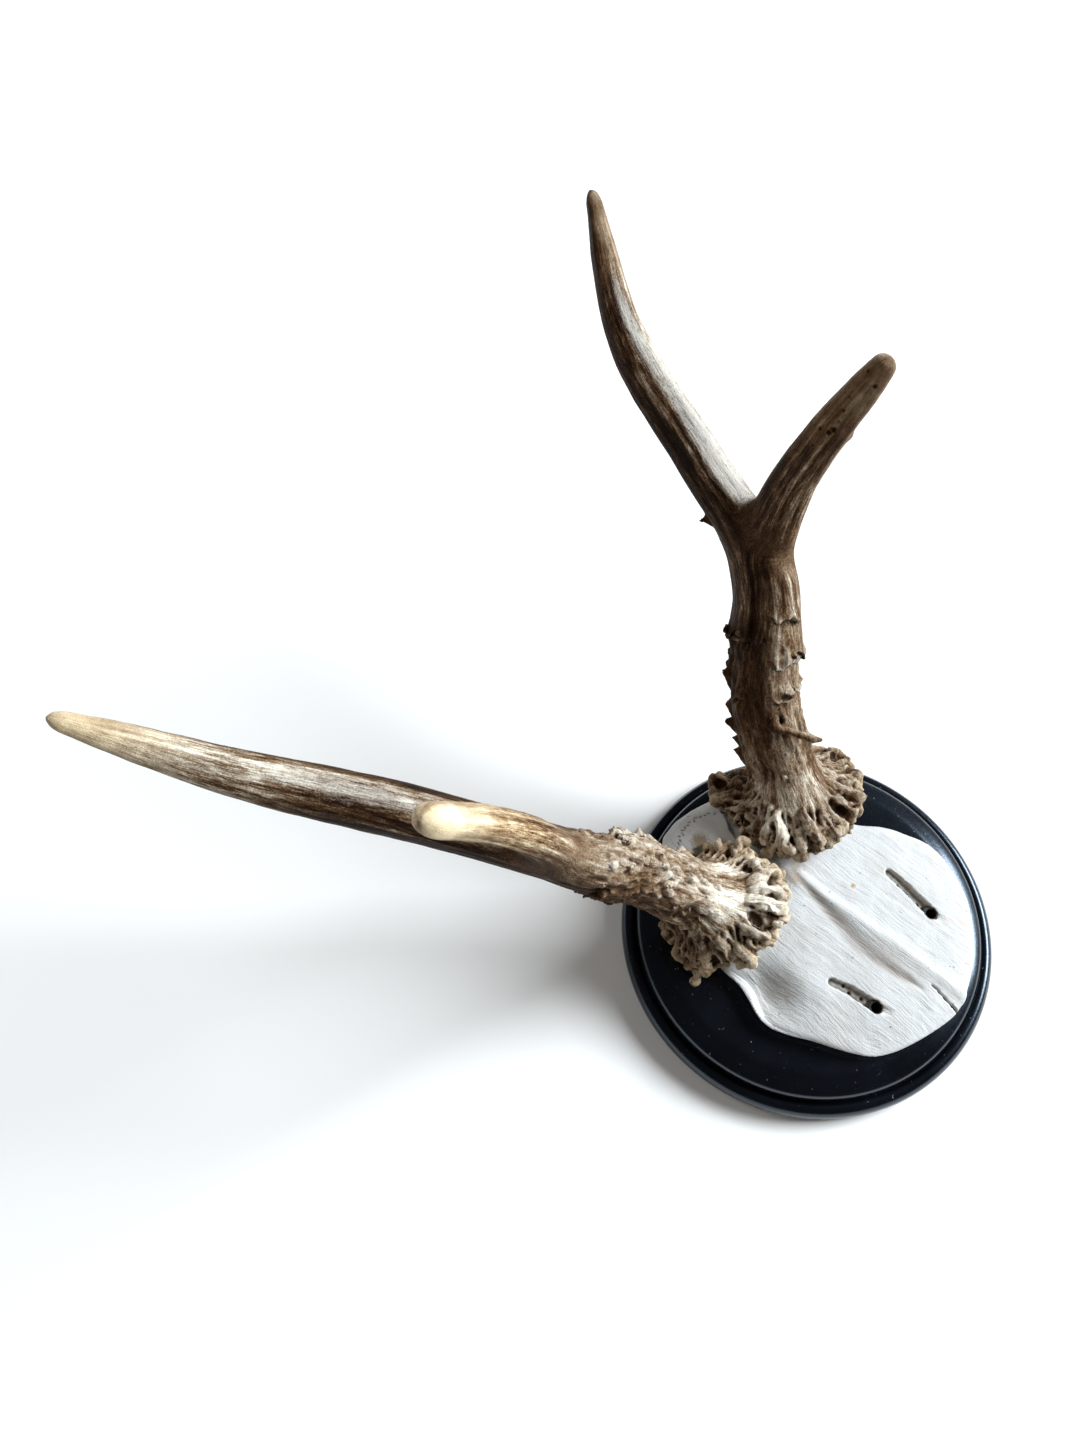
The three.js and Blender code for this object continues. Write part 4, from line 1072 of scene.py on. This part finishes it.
def plaque_mesh():
    """A turned board: rounded foot, bead, narrow groove, ogee shoulder and flat top."""
    curves = [
        [[57.4, 0], [58.9, 0.5], [59.7, 2], [60, 4.4], [59.6, 6.3], [58.5, 7.8], [57.2, 8.3], [56, 8.0],
         [55.5, 7.4]],
        [[55.4, 7.4], [55.2, 9.4], [54.9, 11.0], [54.3, 12.1], [53, 12.95], [51.5, 13.65], [50.2, 14.15],
         [49.2, 14.56], [48.2, 14.86], [46.8, PLAQUE_HEIGHT]],
    ]
    profile = [[0, 0], [20, 0], [40, 0], [52, 0]]
    for curve in curves:
        line, _ = smooth_line([[radius, 0, height] for radius, height in curve], step=0.45)
        profile += [[point[0], point[2]] for point in line]
    profile += [[40, PLAQUE_HEIGHT], [20, PLAQUE_HEIGHT], [0, PLAQUE_HEIGHT]]
    board = mesh_of(turned(profile, 240), "plaque")
    return cut(board, *[mesh_of(turned(SCREW_HOLE, 40, x, y), "screw_hole") for x, y in SCREWS])


def screw_mesh(x, y):
    """A slotted countersunk wood screw with its thread."""
    profile = [[0, 0.4], [3.9, 0.4], [4.0, 0.6], [4.0, 1.0], [2.0, 3.4], [2.0, 7]]
    for k in range(THREAD_TURNS):
        z = 7.3 + k * 0.9
        core = 1.45 - 0.4 * max(0, k - 8)
        profile += [[core, z], [core + 0.5, z + 0.35], [core, z + 0.6]]
    profile += [[0.4, 18.8], [0, 19.5]]
    body = mesh_of(turned(profile, 40, x, y), "screw")
    slot = bmesh.new()
    turn = Matrix.Rotation(math.radians(35 + y), 4, "Z")
    bmesh.ops.create_cube(slot, size=1, matrix=Matrix.Translation((x, y, 0.6)) @ turn
                          @ Matrix.Diagonal((12, 1.1, 1.6, 1)))
    return cut(body, mesh_of(slot, "slot"))


# ---------------------------------------------------------------- finishes

# Antler, from dark stain to ivory, and what lies over it.
ANTLER_TONES = [
    (0.0, (0.011, 0.0042, 0.0017)), (0.2, (0.034, 0.0145, 0.0055)), (0.4, (0.098, 0.05, 0.022)),
    (0.56, (0.21, 0.142, 0.086)), (0.72, (0.385, 0.31, 0.23)), (0.86, (0.575, 0.505, 0.405)),
    (1.0, (0.82, 0.755, 0.62)),
]
HONEY = (1.0, 0.83, 0.58)
RUBBED_GREY = (0.5, 0.475, 0.43)
CREST_CREAM_AND_HIGHLIGHT = (0.46, 0.42, 0.385)
RIM_GOLD = (0.6, 0.44, 0.27)
SHADE_BROWN = (0.075, 0.037, 0.016)
CLEFT_STAIN_AND_SHADE_BLACK = (0.018, 0.008, 0.004)
PORE_BROWN = (0.03, 0.015, 0.008)

CHALK = (0.585, 0.585, 0.575)
OLD_CHALK = (0.54, 0.52, 0.49)
GRAIN_GREY = (0.34, 0.31, 0.28)
VEIN_GREY = (0.36, 0.34, 0.32)
STAIN_BROWN = (0.17, 0.135, 0.11)
CLEFT_SHADE_BROWN = (0.2, 0.15, 0.1)
SPOT_TAN = (0.4, 0.24, 0.12)
BLOTCH_AND_SHADE_BROWN = (0.24, 0.15, 0.07)
BONE_PINK = (0.62, 0.38, 0.28)
GROOVE_BROWN = (0.13, 0.1, 0.065)
OPENING_SHADE_BLACK = (0.012, 0.009, 0.007)
SPECK_BROWN = (0.16, 0.12, 0.09)

PAINT_BLACK = (0.0016, 0.0018, 0.0028)
WORN_PAINT = (0.0046, 0.0054, 0.0085)
WINDOW_BLUE_SHEEN = (0.62, 0.8, 1.0, 1)
DUST_GREY = (0.34, 0.33, 0.32)
SCUFF_GREY = (0.3, 0.3, 0.31)
BRIGHT_STEEL = (0.46, 0.46, 0.47)
TARNISHED_STEEL = (0.26, 0.24, 0.21)
FLOOR_PALE = (0.94, 0.92, 0.89)


class Wire:
    """A node's output that takes part in sums, each of which adds a Math node."""

    def __init__(self, finish, socket):
        self.finish, self.socket = finish, socket

    def __add__(self, other):
        return self.finish.maths("ADD", self, other)

    def __sub__(self, other):
        return self.finish.maths("SUBTRACT", self, other)

    def __rsub__(self, other):
        return self.finish.maths("SUBTRACT", other, self)

    def __mul__(self, other):
        return self.finish.maths("MULTIPLY", self, other)

    __radd__ = __add__
    __rmul__ = __mul__


class Finish:
    """A material made of nodes around one Principled shader, with fixed values for its sockets."""

    def __init__(self, name, **fixed):
        self.material = bpy.data.materials.new(name)
        self.material.use_nodes = True
        self.tree = self.material.node_tree
        self.shader = self.tree.nodes["Principled BSDF"]
        for socket, value in fixed.items():
            self.shader.inputs[socket.replace("_", " ")].default_value = value

    def node(self, kind, settings=None, inputs=None, output=0):
        """Any node: its settings come first, then the values or links of its sockets."""
        node = self.tree.nodes.new("ShaderNode" + kind)
        for setting, value in (settings or {}).items():
            if setting == "stops":
                ramp = node.color_ramp.elements
                for k, (place, colour) in enumerate(value):
                    stop = ramp[k] if k < len(ramp) and k < 2 else ramp.new(place)
                    stop.position, stop.color = place, (*colour, 1)
            else:
                setattr(node, setting, value)
        for socket, value in (inputs or {}).items():
            self.feed(node.inputs[socket], value)
        return Wire(self, node.outputs[output])

    def feed(self, socket, value):
        if isinstance(value, Wire):
            self.tree.links.new(value.socket, socket)
        elif socket.type == "RGBA" and len(value) == 3:
            socket.default_value = (*value, 1)
        else:
            socket.default_value = value

    def maths(self, operation, first, second):
        """A Math node; at least one of its two sides is a Wire."""
        return self.node("Math", {"operation": operation}, {0: first, 1: second})

    def attribute(self, name, output="Fac"):
        return self.node("Attribute", {"attribute_name": name}, output=output)

    def place(self):
        """Object coordinates in millimetres."""
        spot = self.node("TexCoord", output="Object")
        return self.scaled(spot, (1000, 1000, 1000))

    def scaled(self, vector, factors):
        return self.node("VectorMath", {"operation": "MULTIPLY"}, {0: vector, 1: factors})

    def across(self, shift):
        """A vector that points along X by that amount."""
        return self.node("CombineXYZ", inputs={"X": shift})

    def noise(self, vector, scale, detail, roughness):
        return self.node("TexNoise", inputs={"Vector": vector, "Scale": scale, "Detail": detail,
                                             "Roughness": roughness})

    def clipped(self, value, low=0.0, high=1.0):
        """Remaps low..high to 0..1 and holds it there."""
        return self.node("MapRange", {"clamp": True}, {"Value": value, "From Min": low, "From Max": high})

    def mix(self, factor, first, second, blend="MIX"):
        return self.node("Mix", {"data_type": "RGBA", "blend_type": blend},
                         {0: factor, 6: first, 7: second}, 2)

    def ramp(self, value, stops):
        return self.node("ValToRGB", {"stops": stops}, {0: value})

    def finish(self, colour, roughness, bump=None, strength=0.5, distance=0.0003):
        """Feeds the shader, with the bump's height in metres, and hands over the material."""
        self.feed(self.shader.inputs["Base Color"], colour)
        self.feed(self.shader.inputs["Roughness"], roughness)
        if bump is not None:
            normal = self.node("Bump", inputs={"Strength": strength, "Distance": distance,
                                               "Height": bump})
            self.feed(self.shader.inputs["Normal"], normal)
        return self.material


def antler_finish(name):
    """Grown antler: dark stain and painted shade in clefts, pale crests partly painted as highlights,
    streaks along the grain, ivory tips.
    """
    paint = Finish(name, Specular_IOR_Level=0.07)
    strand = paint.attribute("strand", "Vector")
    place = paint.place()
    relief, hollow = paint.attribute("relief"), paint.attribute("hollow")
    rough, tip, rim = paint.attribute("rough"), paint.attribute("tip"), paint.attribute("rim")
    streaks = paint.noise(paint.scaled(strand, (0.42, 0.42, 0.034)), 1.0, 4.0, 0.62)
    fibres = paint.noise(paint.scaled(strand, (2.1, 2.1, 0.24)), 1.0, 3.0, 0.65)
    mottle = paint.noise(place, 0.16, 4.0, 0.62)
    specks = paint.noise(place, 1.9, 3.0, 0.65)
    quiet = (1 - 0.75 * tip) * (1 - paint.attribute("knot"))
    plain = 1 - 0.7 * rough
    # The tone attribute holds painted shade as well as the antler's colours; the relief and hollow terms
    # make crests paler and clefts darker, a painted highlight and shade.
    value = (paint.attribute("tone_with_painted_shade") - 0.1 + (streaks - 0.5) * 1.7 * quiet * plain
             + (fibres - 0.5) * 1.15 * quiet * (1 - 0.4 * rough)
             + (mottle - 0.5) * 0.55 + relief * 0.11 + hollow * 0.04
             + (specks - 0.5) * 0.6 * (1 - 0.7 * tip))
    colour = paint.ramp(value, ANTLER_TONES)
    colour = paint.mix(paint.attribute("honey"), colour, HONEY, "MULTIPLY")
    worn = 0.55 + streaks * 0.8 + (fibres - 0.5) * 1.3 + (specks - 0.5) * 0.9 + relief * 0.3
    polish = paint.clipped(paint.attribute("polish") * worn, 0.3, 0.8)
    colour = paint.mix(polish * 0.75, colour, RUBBED_GREY)
    pale = paint.clipped(paint.attribute("tone_with_painted_shade"), 0.4, 0.7)
    # Pale crests: partly the worn bone's own colour, partly a painted highlight on the crests of the rough
    # parts.
    pale_crest_and_highlight = paint.clipped(relief + hollow * 0.4 + (specks - 0.5), 0.3, 1.3)
    colour = paint.mix(pale_crest_and_highlight * rough * pale * (1 - rim) * 0.4, colour, CREST_CREAM_AND_HIGHLIGHT)
    gold = paint.clipped(rim * (mottle * 3.4 - 1.0) + relief * 0.25 + (specks - 0.5) * 0.5, 0.3, 1.1)
    colour = paint.mix(gold * 0.5, colour, RIM_GOLD)
    # Painted shade over some real dark stain: clefts and hollows of the rough parts are darkened to brown,
    # then nearly to black.
    shade = paint.clipped(relief * -0.5 + hollow * -1.0 + (specks - 0.5) * 0.6, 0.0, 0.8)
    colour = paint.mix(shade * rough * 0.65, colour, SHADE_BROWN)
    cleft = paint.clipped(relief * -0.9 + hollow * -0.9, 0.25, 1.2)
    colour = paint.mix(cleft * rough * 0.9, colour, CLEFT_STAIN_AND_SHADE_BLACK)
    pores = paint.noise(paint.scaled(strand, (2.6, 2.6, 0.5)), 1.0, 1.0, 0.5)
    pore = paint.clipped(pores, 0.66, 0.72) * (1 - tip)
    colour = paint.mix(pore * 0.5, colour, PORE_BROWN)
    roughness = 0.6 - 0.16 * tip - 0.14 * polish + (specks - 0.5) * 0.2 - relief * 0.06
    bump = fibres * 0.8 + specks * 0.6 - pore * 0.8
    return paint.finish(colour, roughness, bump, 0.6, 0.00055)


def bone_finish():
    """Bleached bone: chalky, with fine grain along the skull, a brown stain along its middle, and painted
    brown shade in its clefts.
    """
    paint = Finish("bleached_bone", Specular_IOR_Level=0.35)
    place = paint.place()
    relief, hollow = paint.attribute("relief"), paint.attribute("hollow")
    stain, dark = paint.attribute("stain"), paint.attribute("dark")
    bend = paint.noise(place, 0.05, 2.0, 0.5)
    wavy = paint.node("VectorMath", {"operation": "ADD"}, {0: place, 1: paint.across(bend * 7)})
    grain = paint.noise(paint.scaled(wavy, (1.7, 0.075, 0.8)), 1.0, 4.0, 0.62)
    veins = paint.noise(paint.scaled(wavy, (0.7, 0.03, 0.4)), 1.0, 3.0, 0.6)
    cloud = paint.noise(place, 0.07, 3.0, 0.5)
    dust = paint.noise(place, 1.6, 3.0, 0.6)
    colour = paint.mix(paint.clipped(cloud, 0.4, 0.75), CHALK, OLD_CHALK)
    colour = paint.mix(paint.clipped(grain, 0.54, 0.72) * 0.4, colour, GRAIN_GREY)
    colour = paint.mix(paint.clipped(veins, 0.58, 0.76) * 0.3, colour, VEIN_GREY)
    band = paint.clipped(stain * (0.1 + grain * 1.5), 0.2, 0.95)
    colour = paint.mix(band * 0.85, colour, STAIN_BROWN)
    # Painted shade: the bone's clefts and hollows are darkened to brown.
    cleft = paint.clipped(relief * -1 + hollow * -0.35, 0.25, 1.1)
    colour = paint.mix(cleft * 0.6, colour, CLEFT_SHADE_BROWN)
    # Tan, brown and pink spots of the bone; one brown blotch is painted shade in the brow's hollow.
    for marks, tint in ((TAN_SPOTS, SPOT_TAN), (BROWN_BLOTCHES_AND_SHADE, BLOTCH_AND_SHADE_BROWN), (PINK_TINTS, BONE_PINK)):
        for x, y, radius, strength in marks:
            gap = paint.node("VectorMath", {"operation": "DISTANCE"},
                             {0: paint.scaled(place, (1, 1, 0)), 1: (x, y, 0)}, 1)
            spot = paint.clipped(gap * -1 + (dust - 0.5) * radius * 1.6, -radius, -radius * 0.45)
            colour = paint.mix(spot * strength, colour, tint)
    colour = paint.mix(paint.clipped(dark, 0.0, 0.6) * 0.75, colour, GROOVE_BROWN)
    # The black of the openings is painted shade inside the holes.
    colour = paint.mix(paint.clipped(dark, 0.6, 1.0), colour, OPENING_SHADE_BLACK)
    speck = paint.clipped(paint.noise(place, 0.75, 1.0, 0.4), 0.75, 0.79)
    colour = paint.mix(speck * 0.7, colour, SPECK_BROWN)
    return paint.finish(colour, 0.72 + (dust - 0.5) * 0.2, grain * 1.0 + dust * 0.5, 0.6, 0.0004)


def painted_wood_finish():
    """Satin black paint on turned wood, with rubbed edges and dust."""
    # The specular tint makes the paint's reflections blue: colour that stands in for the blue light of the
    # window.
    paint = Finish("painted_wood", Specular_IOR_Level=0.5, Specular_Tint=WINDOW_BLUE_SHEEN,
                   Coat_Weight=0.12, Coat_Roughness=0.1)
    place = paint.place()
    drift = paint.noise(place, 0.035, 4.0, 0.6)
    dust = paint.noise(place, 1.1, 2.0, 0.6)
    speck = paint.clipped(paint.noise(place, 0.9, 1.0, 0.4), 0.755, 0.79)
    scuff = paint.clipped(paint.noise(paint.scaled(place, (0.05, 0.4, 0.4)), 1.0, 4.0, 0.7), 0.68, 0.82)
    colour = paint.mix(paint.clipped(drift, 0.35, 0.8), PAINT_BLACK, WORN_PAINT)
    colour = paint.mix(speck * 0.35, colour, DUST_GREY)
    colour = paint.mix(scuff * 0.14, colour, SCUFF_GREY)
    roughness = 0.23 + (drift - 0.5) * 0.16 + (dust - 0.5) * 0.12 + scuff * 0.2
    return paint.finish(colour, roughness, dust * 0.5 + drift * 0.5, 0.12, 0.0003)


def steel_finish():
    """Dull screw steel, brushed and tarnished in patches."""
    paint = Finish("screw_steel", Metallic=1.0)
    place = paint.place()
    brush = paint.noise(paint.scaled(place, (0.6, 5.0, 5.0)), 1.0, 3.0, 0.6)
    tarnish = paint.noise(place, 0.5, 3.0, 0.6)
    colour = paint.mix(paint.clipped(tarnish, 0.45, 0.7), BRIGHT_STEEL, TARNISHED_STEEL)
    return paint.finish(colour, 0.32 + (tarnish - 0.5) * 0.3, brush, 0.15, 0.0001)


# ---------------------------------------------------------------- the trophy

for antler in (LEFT, RIGHT):
    finished(antler["name"], antler_mesh(antler), antler["nodes"], antler_finish(antler["name"]))
finished("frontal_bone", skull_plate_mesh(), ["skull_plate"], bone_finish())
finished("turned_plaque", plaque_mesh(), ["plaque"], painted_wood_finish())
steel = steel_finish()
for number, (x, y) in enumerate(SCREWS, 1):
    finished(f"screw_{number}", screw_mesh(x, y), [f"fixing_screw_{number}"], steel)


# ---------------------------------------------------------------- room, light and camera

bm = bmesh.new()
bmesh.ops.create_grid(bm, x_segments=2, y_segments=2, size=1.8)
floor = new_object("floor", mesh_of(bm, "floor"))
floor_paint = Finish("pale_floor")
floor.data.materials.append(floor_paint.finish(FLOOR_PALE, 0.9))


def add_light(name, direction, distance, size, power, colour):
    """A square lamp that looks at the trophy from a direction, in metres and watts."""
    lamp = bpy.data.lights.new(name, "AREA")
    lamp.shape, lamp.size, lamp.size_y = "RECTANGLE", size[0], size[1]
    lamp.energy, lamp.color = power, colour
    obj = bpy.data.objects.new(name, lamp)
    bpy.context.scene.collection.objects.link(obj)
    target = Vector((0, 0.05, 0.06))
    spot = target + Vector(direction).normalized() * distance
    turn = (target - spot).to_track_quat("-Z", "Y").to_matrix().to_4x4()
    obj.matrix_world = Matrix.Translation(spot) @ turn
    return obj


add_light("window", (0.70, -0.48, 0.53), 2.8, (1.6, 1.2), 200, (0.86, 0.935, 1.0))
fill = add_light("back_fill", (-0.35, 0.6, 0.8), 2.2, (1.4, 1.4), 13, (1.0, 0.98, 0.95))
fill.visible_glossy = False

bpy.context.scene.view_settings.view_transform = "Standard"
# The walls light the trophy dimly, while the camera sees them pale.
world = bpy.data.worlds.new("room")
bpy.context.scene.world = world
world.use_nodes = True
room = world.node_tree
dim = room.nodes["Background"]
dim.inputs["Color"].default_value = (0.95, 0.97, 1.0, 1)
dim.inputs["Strength"].default_value = 0.06
wall = room.nodes.new("ShaderNodeBackground")
wall.inputs["Color"].default_value = (0.88, 0.89, 0.9, 1)
seen = room.nodes.new("ShaderNodeLightPath")
either = room.nodes.new("ShaderNodeMixShader")
room.links.new(seen.outputs["Is Camera Ray"], either.inputs[0])
room.links.new(dim.outputs[0], either.inputs[1])
room.links.new(wall.outputs[0], either.inputs[2])
room.links.new(either.outputs[0], room.nodes["World Output"].inputs["Surface"])

# The camera is above the left of the plaque and looks down on the trophy at a slant.
camera = bpy.data.cameras.new("camera")
camera.sensor_width = 36
camera.lens = 26.25
camera.clip_start = 0.01
viewpoint = bpy.data.objects.new("camera", camera)
bpy.context.scene.collection.objects.link(viewpoint)
right, up = Vector((0.6432, -0.7636, -0.0567)), Vector((0.7017, 0.5581, 0.4429))
back = right.cross(up)
facing = Matrix((right, up, back)).transposed().to_4x4()
viewpoint.matrix_world = Matrix.Translation((-0.1147, -0.0082, 0.3510)) @ facing
bpy.context.scene.camera = viewpoint
